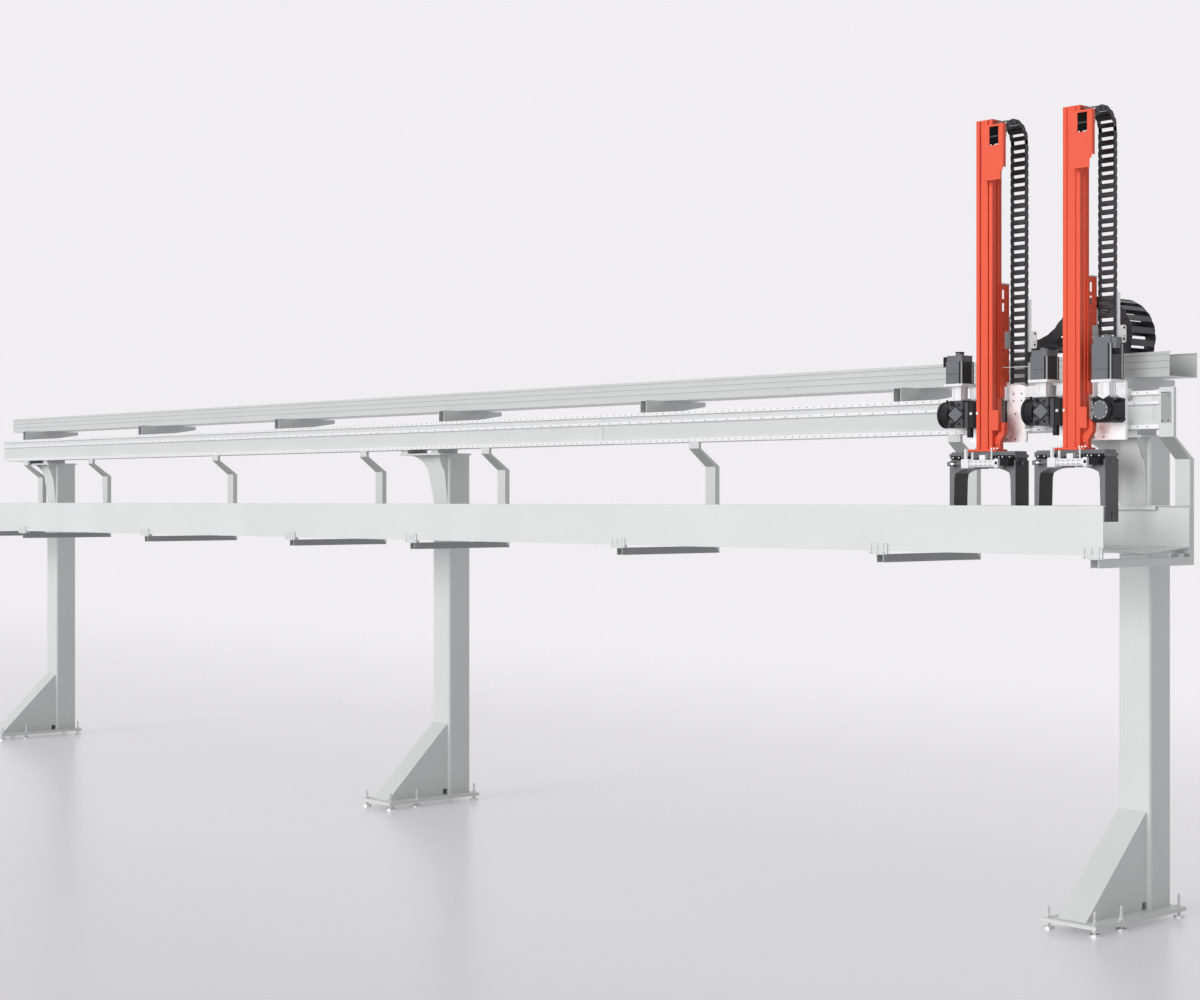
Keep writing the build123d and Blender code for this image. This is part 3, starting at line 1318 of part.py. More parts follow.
save(make_guide_shoes(), "guide_shoes")
save(make_z_guide_blocks(), "z_guide_blocks")
save(make_x_chain_loop(), "x_chain_loop")
save(make_x_chain_upper_run(), "x_chain_upper_run")
save(make_x_chain_lower_run(), "x_chain_lower_run")
save(make_x_chain_shelf(), "x_chain_shelf")
x_motor_x = ROBOT_X[1] + X_MOTOR_OFFSET
x_motor_bottom = RACK_BOTTOM - X_PINION_RADIUS + X_GEARBOX_SIZE / 2 + X_BELL_HEIGHT + FLANGE_THICK
save(make_motor(x_motor_x, X_MOTOR_SIZE, x_motor_bottom, X_MOTOR_HEIGHT, 1), "x_motor")
save(make_x_gearbox(), "x_gearbox")
save(make_x_pinion(), "x_pinion")
z_motor_bottom = GEARBOX_BOTTOM + GEARBOX_HEIGHT + BELL_HEIGHT + FLANGE_THICK
for index, robot_x in enumerate(ROBOT_X):
    number = index + 1
    motor_x = robot_x + MOTOR_OFFSET
    save(make_carriage_plate(index), f"carriage_plate_{number}")
    save(make_motor(motor_x, MOTOR_SIZE, z_motor_bottom, MOTOR_HEIGHT, -1), f"z_motor_{number}")
    save(make_z_gearbox(robot_x), f"z_gearbox_{number}")
    save(make_z_pinion(robot_x), f"z_pinion_{number}")
    save(make_z_chain_post(robot_x), f"z_chain_post_{number}")
    save(make_z_chain_guide(robot_x), f"z_chain_guide_{number}")
    save(make_z_chain_run(robot_x), f"z_chain_run_{number}")
    save(make_z_chain_loop(robot_x), f"z_chain_loop_{number}")
    save(make_z_beam(robot_x), f"z_beam_{number}")
    save(make_z_rails(robot_x), f"z_rails_{number}")
    save(make_z_rack(robot_x), f"z_rack_{number}")
    save(make_top_cover(robot_x), f"top_cover_{number}")
    save(make_rail_plate(robot_x), f"rail_plate_{number}")
    save(make_gripper_cylinder(robot_x), f"gripper_cylinder_{number}")
    save(make_jaw(robot_x, -1), f"jaw_left_{number}")
    save(make_jaw(robot_x, 1), f"jaw_right_{number}")
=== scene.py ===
"""Looks of the gantry robot: finishes, energy-chain links, bolts, motors and gripper details."""

import json
import math

import bmesh
import bpy
from mathutils import Matrix, Vector


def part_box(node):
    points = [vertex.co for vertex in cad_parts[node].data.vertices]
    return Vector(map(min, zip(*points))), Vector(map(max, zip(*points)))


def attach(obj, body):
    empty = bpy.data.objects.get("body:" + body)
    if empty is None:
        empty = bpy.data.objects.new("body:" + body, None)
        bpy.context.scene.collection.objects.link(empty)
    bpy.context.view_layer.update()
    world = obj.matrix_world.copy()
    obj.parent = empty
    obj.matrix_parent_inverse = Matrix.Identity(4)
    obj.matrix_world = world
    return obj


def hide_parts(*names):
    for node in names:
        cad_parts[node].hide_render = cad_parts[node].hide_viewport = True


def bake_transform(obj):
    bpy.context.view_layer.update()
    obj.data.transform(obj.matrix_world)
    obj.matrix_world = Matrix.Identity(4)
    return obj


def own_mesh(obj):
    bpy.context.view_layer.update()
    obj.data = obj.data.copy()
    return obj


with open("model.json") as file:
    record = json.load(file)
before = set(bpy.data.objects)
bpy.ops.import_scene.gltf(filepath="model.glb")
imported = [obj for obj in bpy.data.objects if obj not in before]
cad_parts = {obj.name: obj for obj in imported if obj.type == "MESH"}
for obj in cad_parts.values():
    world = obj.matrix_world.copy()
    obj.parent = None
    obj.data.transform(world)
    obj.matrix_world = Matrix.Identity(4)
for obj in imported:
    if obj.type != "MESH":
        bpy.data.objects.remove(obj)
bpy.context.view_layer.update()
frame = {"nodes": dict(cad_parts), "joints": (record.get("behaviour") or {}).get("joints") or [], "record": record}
NODES = frame["nodes"]
MM = 0.001

# Camera of the photograph, fitted to its straight edges
CAMERA_PLACE = (12.831, -9.604, 2.230)
CAMERA_YAW = math.radians(47.97)
CAMERA_LENS = 64.26
SENSOR_WIDTH = 36
CLIP_END = 500
SHIFT_X = 0.00375
SHIFT_Y = -0.0005
# Backdrop, then the floor's tone near the camera, its own colour, and the share of that tone the lamps give; a
# painted glow gives the rest
BACKGROUND = (0.868, 0.855, 0.880)
FLOOR_NEAR = (0.600, 0.595, 0.610)
FLOOR_SHADE = (0.42, 0.42, 0.43)
FLOOR_LIT = (0.34, 0.34, 0.345)
FLOOR_DEPTH = (0.0, 13.0)
FLOOR_REACH = (13.0, 42.0)
FLOOR_HALF = 150
FLOOR_ROUGHNESS = 0.28
FLOOR_REFLECTION = 0.30
WORLD_STRENGTH = 0.42
# Suns: name, strength, angle in degrees and direction
SUNS = (("key", 1.86, 40, (0.10, 0.95, -0.22)), ("top", 0.25, 90, (0.0, 0.25, -1.0)))

# Noise in object space: scales per metre, and the middle band of its values that is used
PAINT_CLOUDS = 2.2
PAINT_PEEL = 420
METAL_LINES = 60
PLASTIC_CLOUDS = 9
PLASTIC_GRAIN = 900
NOISE_BAND = (0.3, 0.7)
# Depth of a finish's relief in metres, paint's reflection, and the steps to a second shade
PEEL_DEPTH = 0.0006
LINE_DEPTH = 0.0004
GRAIN_DEPTH = 0.0003
PAINT_REFLECTION = 0.4
METAL_SHADE = 0.86
PLASTIC_LIFT = (1.35, 0.004)


def material(name):
    """A new node material with its tree and its principled shader."""
    made = bpy.data.materials.new(name)
    made.use_nodes = True
    return made, made.node_tree, made.node_tree.nodes["Principled BSDF"]


def add(tree, kind, inputs=None, **settings):
    """A new shader node with its settings and the values or sources of its inputs."""
    node = tree.nodes.new("ShaderNode" + kind)
    for name, value in settings.items():
        setattr(node, name, value)
    for slot, value in (inputs or {}).items():
        if isinstance(value, bpy.types.NodeSocket):
            tree.links.new(value, node.inputs[slot])
        else:
            node.inputs[slot].default_value = value
    return node


def noise(tree, scale, detail=3.0, stretch=(1, 1, 1)):
    """Noise in object space, in metres, so that it stays the same size on every piece."""
    place = add(tree, "TexCoord").outputs["Object"]
    mapped = add(tree, "Mapping", {"Vector": place, "Scale": stretch}).outputs["Vector"]
    return add(tree, "TexNoise", {"Vector": mapped, "Scale": scale, "Detail": detail}).outputs["Fac"]


def ranged(tree, value, low, high):
    """The value spread from low to high."""
    band = {"From Min": NOISE_BAND[0], "From Max": NOISE_BAND[1], "To Min": low, "To Max": high}
    return add(tree, "MapRange", {"Value": value, **band}).outputs["Result"]


def tint(tree, value, first, second):
    """A colour that goes from first to second with the value."""
    inputs = {"Factor": value, "A": (*first, 1), "B": (*second, 1)}
    return add(tree, "Mix", inputs, data_type="RGBA").outputs["Result"]


def finish(shader, tree, value, colours, roughness, strength, depth):
    """Colour, roughness and relief of a surface; value drives the last two."""
    noisy, first, second = colours
    shown = tint(tree, ranged(tree, noisy, 0, 1), first, second)
    tree.links.new(shown, shader.inputs["Base Color"])
    tree.links.new(ranged(tree, value, *roughness), shader.inputs["Roughness"])
    relief = add(tree, "Bump", {"Strength": strength, "Distance": depth, "Height": value})
    tree.links.new(relief.outputs["Normal"], shader.inputs["Normal"])


def painted(name, colour, roughness=0.42, depth=0.04, relief=0.05):
    """Powder coat: faint cloudy shade, orange-peel relief and uneven gloss."""
    made, tree, shader = material(name)
    darker = tuple(c * (1 - depth) for c in colour)
    colours = (noise(tree, PAINT_CLOUDS), darker, colour)
    gloss = (roughness - 0.05, roughness + 0.05)
    finish(shader, tree, noise(tree, PAINT_PEEL, 2.0), colours, gloss, relief, PEEL_DEPTH)
    shader.inputs["Specular IOR Level"].default_value = PAINT_REFLECTION
    return made


def metal(name, colour, roughness, stretch, metallic=1.0, relief=0.08):
    """Ground or drawn metal with fine lines along one direction."""
    made, tree, shader = material(name)
    lines = noise(tree, METAL_LINES, 4.0, stretch)
    colours = (lines, tuple(c * METAL_SHADE for c in colour), colour)
    gloss = (roughness - 0.06, roughness + 0.08)
    finish(shader, tree, lines, colours, gloss, relief, LINE_DEPTH)
    shader.inputs["Metallic"].default_value = metallic
    return made


def plastic(name, colour, roughness=0.45):
    """Moulded plastic with a fine spark-eroded grain."""
    made, tree, shader = material(name)
    lighter = tuple(min(1, c * PLASTIC_LIFT[0] + PLASTIC_LIFT[1]) for c in colour)
    colours = (noise(tree, PLASTIC_CLOUDS), colour, lighter)
    gloss = (roughness - 0.06, roughness + 0.1)
    finish(shader, tree, noise(tree, PLASTIC_GRAIN, 2.0), colours, gloss, 0.15, GRAIN_DEPTH)
    return made


PAINT = painted("frame_paint", (0.695, 0.712, 0.702))
TRAY = painted("tray_paint", (0.730, 0.745, 0.738))
TROUGH = painted("trough_sheet", (0.630, 0.645, 0.640), 0.36)
# Painted shade for recesses, slits and the trough's bends
PAINTED_SHADE = painted("shaded_recess", (0.360, 0.368, 0.364), 0.5)
# Painted shade: a darker copy of the frame paint for faces that turn down
DOWN_FACE_SHADE = painted("frame_shade_below", (0.400, 0.410, 0.405))
# Painted shade for the tray bars' right sides, under the tray
SHADED = painted("frame_shaded", (0.330, 0.338, 0.333), 0.5)
# Painted shade: a dark orange for a strip along each top cover's left edge
EDGE_SHADE = painted("edge_shade_orange", (0.300, 0.030, 0.014), 0.5)
ORANGE = painted("orange_paint", (0.850, 0.100, 0.043), 0.46, 0.04)
PLATE = metal("plate_ground", (0.97, 0.97, 0.98), 0.42, (1, 1, 1), 0.55, 0.0)
STEEL = metal("steel_ground", (0.93, 0.93, 0.94), 0.34, (0.4, 1, 12), 0.20, 0.03)
ZINC = metal("zinc", (0.74, 0.75, 0.76), 0.32, (1, 1, 1), 0.7)
ALLOY = metal("white_alloy", (0.90, 0.90, 0.91), 0.40, (1, 1, 4), 0.05, 0.02)
DARK_BOLT = metal("black_oxide", (0.09, 0.09, 0.10), 0.40, (1, 1, 1), 0.6)
SHEET = painted("sheet_grey", (0.600, 0.615, 0.605), 0.35)
MOTOR = painted("motor_paint", (0.158, 0.163, 0.182), 0.36, 0.08)
MOTOR_SIDE = painted("motor_gloss", (0.036, 0.035, 0.037), 0.12, 0.10, 0.01)
GEARBOX = painted("gearbox_paint", (0.022, 0.022, 0.025), 0.24, 0.12)
COVER_GREY = painted("cover_grey", (0.155, 0.160, 0.175), 0.40, 0.06)
HOUSING = painted("housing_front", (0.085, 0.086, 0.095), 0.34, 0.12)
TOOL = painted("tool_paint", (0.195, 0.199, 0.215), 0.45, 0.08)
# Painted shade for the jaws' right sides: a darker copy of the tool paint, and a near-black one for the sides in
# shadow
JAW_SIDE_SHADE = painted("tool_side", (0.100, 0.102, 0.112), 0.45, 0.08)
JAW_SIDE_SHADOW = painted("tool_black", (0.018, 0.018, 0.020), 0.40, 0.10)
CHAIN = plastic("chain_plastic", (0.030, 0.030, 0.033), 0.36)
RUBBER = plastic("black_plastic", (0.010, 0.010, 0.011), 0.50)
WHITE = plastic("white_plastic", (0.80, 0.80, 0.82), 0.40)
# Painted shade: a matte near-black for the sheet behind each top cover's window
WINDOW_SHADE = plastic("window_shade_black", (0.004, 0.004, 0.004), 0.9)


# Lower reflection, for parts that stand in shadow on the photograph
for coat, level in ((GEARBOX, 0.22), (HOUSING, 0.22), (RUBBER, 0.15), (WINDOW_SHADE, 0.05), (CHAIN, 0.4)):
    coat.node_tree.nodes["Principled BSDF"].inputs["Specular IOR Level"].default_value = level

FINISHES = {
    "frame_paint": PAINT,
    "tray_paint": TRAY,
    "bright_steel": STEEL,
    "zinc": ZINC,
    "galvanised": TROUGH,
    "plate_grey": PLATE,
    "white_alloy": ALLOY,
    "motor_grey": MOTOR,
    "gearbox_black": GEARBOX,
    "orange": ORANGE,
    "chain_plastic": CHAIN,
    "tool_black": TOOL,
    "cylinder_white": ALLOY,
}

# Nodes with a second finish above a height in metres
SPLITS = (
    ("z_gearbox_1", 2.7805, ALLOY),
    ("z_gearbox_2", 2.7805, ALLOY),
    ("x_gearbox", 2.7665, ALLOY),
    ("rail_plate_1", 2.4935, ORANGE),
    ("rail_plate_2", 2.4935, ORANGE),
)
# Each robot's nodes with a second finish past an offset in metres from its middle, and the side
SIDE_SPLITS = (("gripper_cylinder", 0.159, 1, RUBBER), ("z_motor", -0.2735, -1, RUBBER))
# Tray bars get painted shade on their right sides below this height in metres
BAR_LEVEL = 1.935
# Normals that count as facing down or right, and the angle of a sharp edge
FACES_DOWN = -0.4
FACES_RIGHT = 0.7
SHARP_ANGLE = 14
# The photograph shows no shadow of these on the trough behind them
SHADOWLESS = ("x_motor", "x_gearbox", "z_beam_2", "z_motor_2", "x_chain_loop", "carriage_plate_2")
# Jaws whose right sides lie in shadow on the photograph
DARK_SIDES = ("jaw_left_1", "jaw_right_1", "jaw_left_2")


def second_finish(piece, coat, chosen):
    """Gives the faces that pass a test a second finish."""
    piece.data.materials.append(coat)
    slot = len(piece.data.materials) - 1
    for face in piece.data.polygons:
        if chosen(face):
            face.material_index = slot


def dress_nodes():
    """Gives each CAD node its slot's finish, a second one where needed, which on some faces turned down or right
    is painted shade, and crisp edges.
    """
    slots = {row["node"]: row["material_slot"] for row in frame["record"]["subparts"]}
    for name, piece in NODES.items():
        piece.data.materials.clear()
        piece.data.materials.append(FINISHES[slots[name]])
        if slots[name] == "frame_paint":
            # Frame faces turned down get painted shade
            second_finish(piece, DOWN_FACE_SHADE, lambda face: face.normal.z < FACES_DOWN)
        # Tray bars' right sides low down get painted shade
        if name.startswith("tray_bracket") and not name.endswith("_end"):
            second_finish(
                piece, SHADED, lambda face: face.normal.x > FACES_RIGHT and face.center.z < BAR_LEVEL
            )
        if name.startswith("jaw"):
            # Right sides of the jaws get painted shade
            side = JAW_SIDE_SHADOW if name in DARK_SIDES else JAW_SIDE_SHADE
            second_finish(piece, side, lambda face: face.normal.x > FACES_RIGHT)
        piece.data.shade_smooth()
        piece.data.set_sharp_from_angle(angle=math.radians(SHARP_ANGLE))
        piece.visible_shadow = name not in SHADOWLESS
    for name, limit, coat in SPLITS:
        second_finish(NODES[name], coat, lambda face: face.center.z > limit)
    for kind, offset, side, coat in SIDE_SPLITS:
        for number in (1, 2):
            limit = robot_middle(number) * MM + offset
            second_finish(
                NODES[f"{kind}_{number}"], coat, lambda face: face.center.x * side > limit * side
            )


def shifted(base, steps):
    """Base plus each step; base is one number, or one for each step."""
    bases = [base] * len(steps) if isinstance(base, (int, float)) else base
    return [a + b for a, b in zip(bases, steps)]


# Socket screws: head's height by its radius, and the socket's rim, floor and rise
HEAD_SHARE = 1.1
SOCKET_SHARES = (0.86, 0.5)
SOCKET_RISE = 0.4


class Shape:
    """Collects simple solids in millimetres into one mesh."""

    def __init__(self):
        self.mesh = bmesh.new()

    def box(self, low, high, bevel=0.0):
        """A block between two corners, with its edges broken by bevel."""
        middle = [(a + b) / 2 * MM for a, b in zip(low, high)]
        size = [(b - a) * MM for a, b in zip(low, high)]
        matrix = Matrix.Translation(middle) @ Matrix.Diagonal((*size, 1))
        made = bmesh.ops.create_cube(self.mesh, size=1, matrix=matrix)
        if bevel:
            edges = {edge for vert in made["verts"] for edge in vert.link_edges}
            bmesh.ops.bevel(
                self.mesh, geom=list(edges), offset=bevel * MM, segments=2, affect="EDGES", profile=0.5
            )
        return self

    def rod(self, start, end, radius, sides=20, tip=None):
        """A round bar between two points, tapering to the radius tip."""
        start, end = Vector(start) * MM, Vector(end) * MM
        axis = end - start
        turn = axis.to_track_quat("Z", "Y").to_matrix().to_4x4()
        matrix = Matrix.Translation((start + end) / 2) @ turn
        bmesh.ops.create_cone(
            self.mesh,
            cap_ends=True,
            segments=sides,
            radius1=radius * MM,
            radius2=(radius if tip is None else tip) * MM,
            depth=axis.length,
            matrix=matrix,
        )
        return self

    def stud(self, place, step, radius, sides):
        """A round bar from a place to one step further."""
        return self.rod(place, shifted(place, step), radius, sides)

    def prism(self, corners, offset, depth, axis):
        """A flat outline pushed along an axis; corners are pairs in the other two axes, in order."""
        order = {"X": (2, 0, 1), "Y": (0, 2, 1), "Z": (0, 1, 2)}[axis]
        rings = []
        for level in (offset, offset + depth):
            ring = []
            for a, b in corners:
                values = (a, b, level)
                ring.append(self.mesh.verts.new([values[i] * MM for i in order]))
            rings.append(ring)
        count = len(corners)
        faces = [self.mesh.faces.new(rings[0]), self.mesh.faces.new(rings[1])]
        for i in range(count):
            j = (i + 1) % count
            faces.append(self.mesh.faces.new((rings[0][i], rings[0][j], rings[1][j], rings[1][i])))
        bmesh.ops.recalc_face_normals(self.mesh, faces=faces)
        return self

    def pack(self, axis, start, end, low, high):
        """Packs start..end into low..high on one axis, with eased spacing."""
        for vert in self.mesh.verts:
            share = min(1, max(0, (vert.co[axis] / MM - start) / (end - start)))
            eased = 0.5 - math.sin(math.asin(1 - 2 * share) / 3)
            vert.co[axis] = (low + (high - low) * eased) * MM
        return self

    def screw(self, place, toward, radius, height=None):
        """A socket cap screw's head, standing on place towards a direction."""
        height = radius * HEAD_SHARE if height is None else height
        place, toward = Vector(place), Vector(toward).normalized()
        self.rod(place, place + toward * height, radius, 12)
        rim, floor = (radius * share for share in SOCKET_SHARES)
        self.rod(place + toward * height, place + toward * (height + SOCKET_RISE), rim, 12, floor)
        return self

    def piece(self, name, coat, body, slot=None, smooth=30):
        """The finished object, riding on its body."""
        data = bpy.data.meshes.new(name)
        self.mesh.normal_update()
        self.mesh.to_mesh(data)
        self.mesh.free()
        data.materials.append(coat)
        data.shade_smooth()
        data.set_sharp_from_angle(angle=math.radians(smooth))
        made = bpy.data.objects.new(name, data)
        bpy.context.scene.collection.objects.link(made)
        if body:
            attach(made, body)
        return made


def size_mm(node):
    """Lowest and highest corner of a CAD node, in millimetres."""
    low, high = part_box(node)
    return low / MM, high / MM


def robot_middle(number):
    """X of a robot's middle, from its rail plate."""
    low, high = size_mm(f"rail_plate_{number}")
    return (low.x + high.x) / 2


# Screw heads along the rails: node, pitch and radius
BOLT_STRIPS = (("rail_upper", 60, 3.6), ("rail_lower", 60, 3.6), ("x_rack", 100, 4.0))
STRIP_RELIEF = 0.6


def strip_bolts():
    """Screw heads along the two guide rails and the rack."""
    for node, pitch, radius in BOLT_STRIPS:
        low, high = size_mm(node)
        screws = Shape()
        count = int((high.x - low.x) // pitch)
        middle = (low.z + high.z) / 2
        for index in range(count):
            place = (low.x + pitch * (index + 0.5), low.y, middle)
            screws.stud(place, (0, -STRIP_RELIEF, 0), radius, 10)
        screws.piece(f"{node}_screws", DARK_BOLT, "frame")


# Chain styles: bending plane's axis, pitch of the links, height, wall and crossbar length
X_CHAIN = {"axis": "Y", "pitch": 60, "height": 64, "wall": 8, "bar": 36}
Z_CHAIN = {"axis": "X", "pitch": 46.8, "height": 28, "wall": 6, "bar": 25}
CHAIN_BAR_THICK = 4
BAR_INSET = 0.5
# Where a link's rear and front plate end along it, and the hinge cap's size by half the height
REAR_END = 0.56
FRONT_END = 0.44
CAP_SHARE = 0.4
CAP_RELIEF = 0.5
# Length at rest of a run that grows
STACK = 3.0


def joint_line(start, end, pitch):
    """Hinge points along a straight run of chain."""
    count = round(math.dist(start, end) / pitch)
    return [tuple(a + (b - a) * i / count for a, b in zip(start, end)) for i in range(count + 1)]


def joint_arc(centre, radius, start, sweep, pitch):
    """Hinge points along an arc in degrees."""
    count = round(abs(math.radians(sweep)) * radius / pitch)
    angles = [math.radians(start + sweep * i / count) for i in range(count + 1)]
    return [(centre[0] + radius * math.cos(a), centre[1] + radius * math.sin(a)) for a in angles]


def add_link(shape, start, end, style):
    """One link: side plates in two overlapping halves, hinge caps and a crossbar on each face."""
    length = math.dist(start, end)
    along = ((end[0] - start[0]) / length, (end[1] - start[1]) / length)
    half = style["height"] / 2
    wall = style["wall"] / 2
    offset = style["span"][0]
    width = style["span"][1] - offset

    def at(u, v):
        return (start[0] + along[0] * u - along[1] * v, start[1] + along[1] * u + along[0] * v)

    turns = [math.radians(90 + 30 * i) for i in range(7)]
    rear = [at(half * math.cos(a), half * math.sin(a)) for a in turns]
    rear += [at(length * REAR_END, -half), at(length * REAR_END, half)]
    front = [at(length - half * math.cos(a), half * math.sin(a)) for a in reversed(turns)]
    front += [at(length * FRONT_END, half), at(length * FRONT_END, -half)]
    eighths = [i * math.pi / 4 for i in range(8)]
    cap = [at(half * CAP_SHARE * math.cos(a), half * CAP_SHARE * math.sin(a)) for a in eighths]
    far = offset + width
    sides = ((offset, offset + wall, offset - CAP_RELIEF), (far - wall, far - 2 * wall, far))
    for outer, inner, caps in sides:
        shape.prism(rear, outer, wall, style["axis"])
        shape.prism(front, inner, wall, style["axis"])
        shape.prism(cap, caps, CAP_RELIEF, style["axis"])
    middle, bar = length / 2, style["bar"] / 2
    faces = ((half - CHAIN_BAR_THICK, half - BAR_INSET), (BAR_INSET - half, CHAIN_BAR_THICK - half))
    for inside, outside in faces:
        edge = (outside - inside) / 3
        corners = [
            at(middle - bar, inside + edge),
            at(middle - bar + edge, outside),
            at(middle + bar - edge, outside),
            at(middle + bar, inside + edge),
            at(middle + bar, inside),
            at(middle - bar, inside),
        ]
        shape.prism(corners, offset + 2 * wall, width - 4 * wall, style["axis"])


def chain_piece(name, joints, style, body, stack=None):
    """A stretch of chain on its joints; stack packs it into a thin slice."""
    shape = Shape()
    for start, end in zip(joints, joints[1:]):
        add_link(shape, start, end, style)
    if stack:
        shape.pack(*stack)
    return shape.piece(name, CHAIN, body, "chain_plastic")


def travel_chain():
    """Chain of the carriage: run in the trough, half-turn, S-bend and the run that grows."""
    loop_low, loop_high = size_mm("x_chain_loop")
    bend_low, bend_high = size_mm("x_chain_upper_run")
    run_low, run_high = size_mm("x_chain_lower_run")
    travel = -joint_range("carriage_slide")[0] / MM / 2
    span = (loop_low.y, loop_high.y)
    style = {**X_CHAIN, "span": span}
    half = X_CHAIN["height"] / 2
    low, top = run_low.z + half, bend_high.z - half
    centre = (run_high.x, (low + top) / 2)
    radius = (top - low) / 2
    pitch = X_CHAIN["pitch"]
    turn = chain_piece("x_chain_turn", joint_arc(centre, radius, 90, -180, pitch), style, "x_chain_loop")
    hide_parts("x_chain_loop")

    end = (bend_low.x, bend_low.z + half)
    run, drop = centre[0] - end[0], top - end[1]
    sweep = (run**2 + drop**2) / (4 * drop)
    angle = math.degrees(math.atan2(run / 2, sweep - drop / 2))
    upper = joint_arc((centre[0], top - sweep), sweep, 90, angle, pitch)
    lower = joint_arc((end[0], end[1] + sweep), sweep, angle - 90, -angle, pitch)
    bend = chain_piece("x_chain_bend", upper + lower[1:], style, "carriage")
    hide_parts("x_chain_upper_run")

    left = centre[0] - travel
    rest = joint_line((run_low.x, low), (left, low), pitch)
    kept = chain_piece("x_chain_kept_run", rest, style, "frame")
    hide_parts("x_chain_lower_run")
    folding = joint_line((left, low), (centre[0], low), pitch)
    moving = chain_piece("x_chain_low_run", folding, style, "frame")
    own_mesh(moving)

    far = centre[0] - 2 * travel
    stack = (0, far, left, centre[0] - STACK / 2, centre[0] + STACK / 2)
    unfolded = joint_line((far, top), (left, top), pitch)
    growing = chain_piece("x_chain_top_run", unfolded, style, None, stack)
    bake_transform(growing)


def lift_chain(number):
    """Chain of one vertical axis: fixed run, half-turn with its tail, and the run that grows."""
    loop_low = size_mm(f"z_chain_loop_{number}")[0]
    run_low, run_high = size_mm(f"z_chain_run_{number}")
    travel = -joint_range(f"z_slide_{number}")[0] / MM / 2
    span = (run_low.x, run_high.x)
    style = {**Z_CHAIN, "span": span}
    half = Z_CHAIN["height"] / 2
    pitch = Z_CHAIN["pitch"]
    back, front = run_low.y + half, loop_low.y + half
    radius = (back - front) / 2
    centre = ((back + front) / 2, run_high.z)
    tail = joint_line((front, loop_low.z), (front, centre[1]), pitch)
    turn = joint_arc(centre, radius, 180, -180, pitch)
    loop = chain_piece(f"z_chain_turn_{number}", tail + turn[1:], style, f"z_chain_loop_{number}")
    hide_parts(f"z_chain_loop_{number}")

    level = centre[1] - travel
    rest = joint_line((back, run_low.z), (back, level), pitch)
    fixed = chain_piece(f"z_chain_fixed_{number}", rest, style, "carriage")
    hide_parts(f"z_chain_run_{number}")
    folding = joint_line((back, level), (back, centre[1]), pitch)
    sinking = chain_piece(f"z_chain_sinking_{number}", folding, style, "carriage")
    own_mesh(sinking)

    bottom = loop_low.z
    stack = (2, bottom - 2 * travel, bottom - travel, bottom - STACK / 2, bottom + STACK / 2)
    unfolded = joint_line((front, bottom - 2 * travel), (front, bottom - travel), pitch)
    growing = chain_piece(f"z_chain_growing_{number}", unfolded, style, None, stack)
    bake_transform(growing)


def joint_range(name):
    """Range of a joint, in metres."""
    return next(row["range_m"] for row in frame["joints"] if row["name"] == name)


# Motors: centre from the robot's middle, side of the body, height of the plug, reach of the socket
Z_MOTOR = {"offset": -215, "size": 116, "plug": 22}
X_MOTOR = {"offset": 187, "size": 124, "plug": 22, "socket": 20}
DRIVE_Y = -57
MOTOR_CAP_HEIGHT = 34
# Depth of a line laid on a face, and the motor's seam: height, thickness and left margin
PROUD = 0.5
SEAM_HEIGHT = 53
SEAM = 1.6
SEAM_LEFT = 8
# Corner groove from the right and from the front, the round strip in it as a painted highlight, and the side panel
GROOVE_FRONT = (19, 10)
GROOVE_SIDE = (9, 15)
HIGHLIGHT_INSET = 5
HIGHLIGHT_RADIUS = 2.6
PANEL_BACK = 8
PANEL_FOOT = 2
# Painted highlight line on the side panel: depths from the back, foot, margin at the top and relief
GLINT_BACK = (26, 18)
GLINT_FOOT = 6
GLINT_TOP = 4
GLINT_RELIEF = 0.3
# Plug's half sides and sink, cap screws' inset and radius, and the socket's depth and drop
PLUG_HALF = (18, 20)
PLUG_SINK = 6
CAP_SCREW_INSET = 9
CAP_SCREW = 3.5
SOCKET_DEPTH = (22, 62)
SOCKET_DROP = (58, 6)


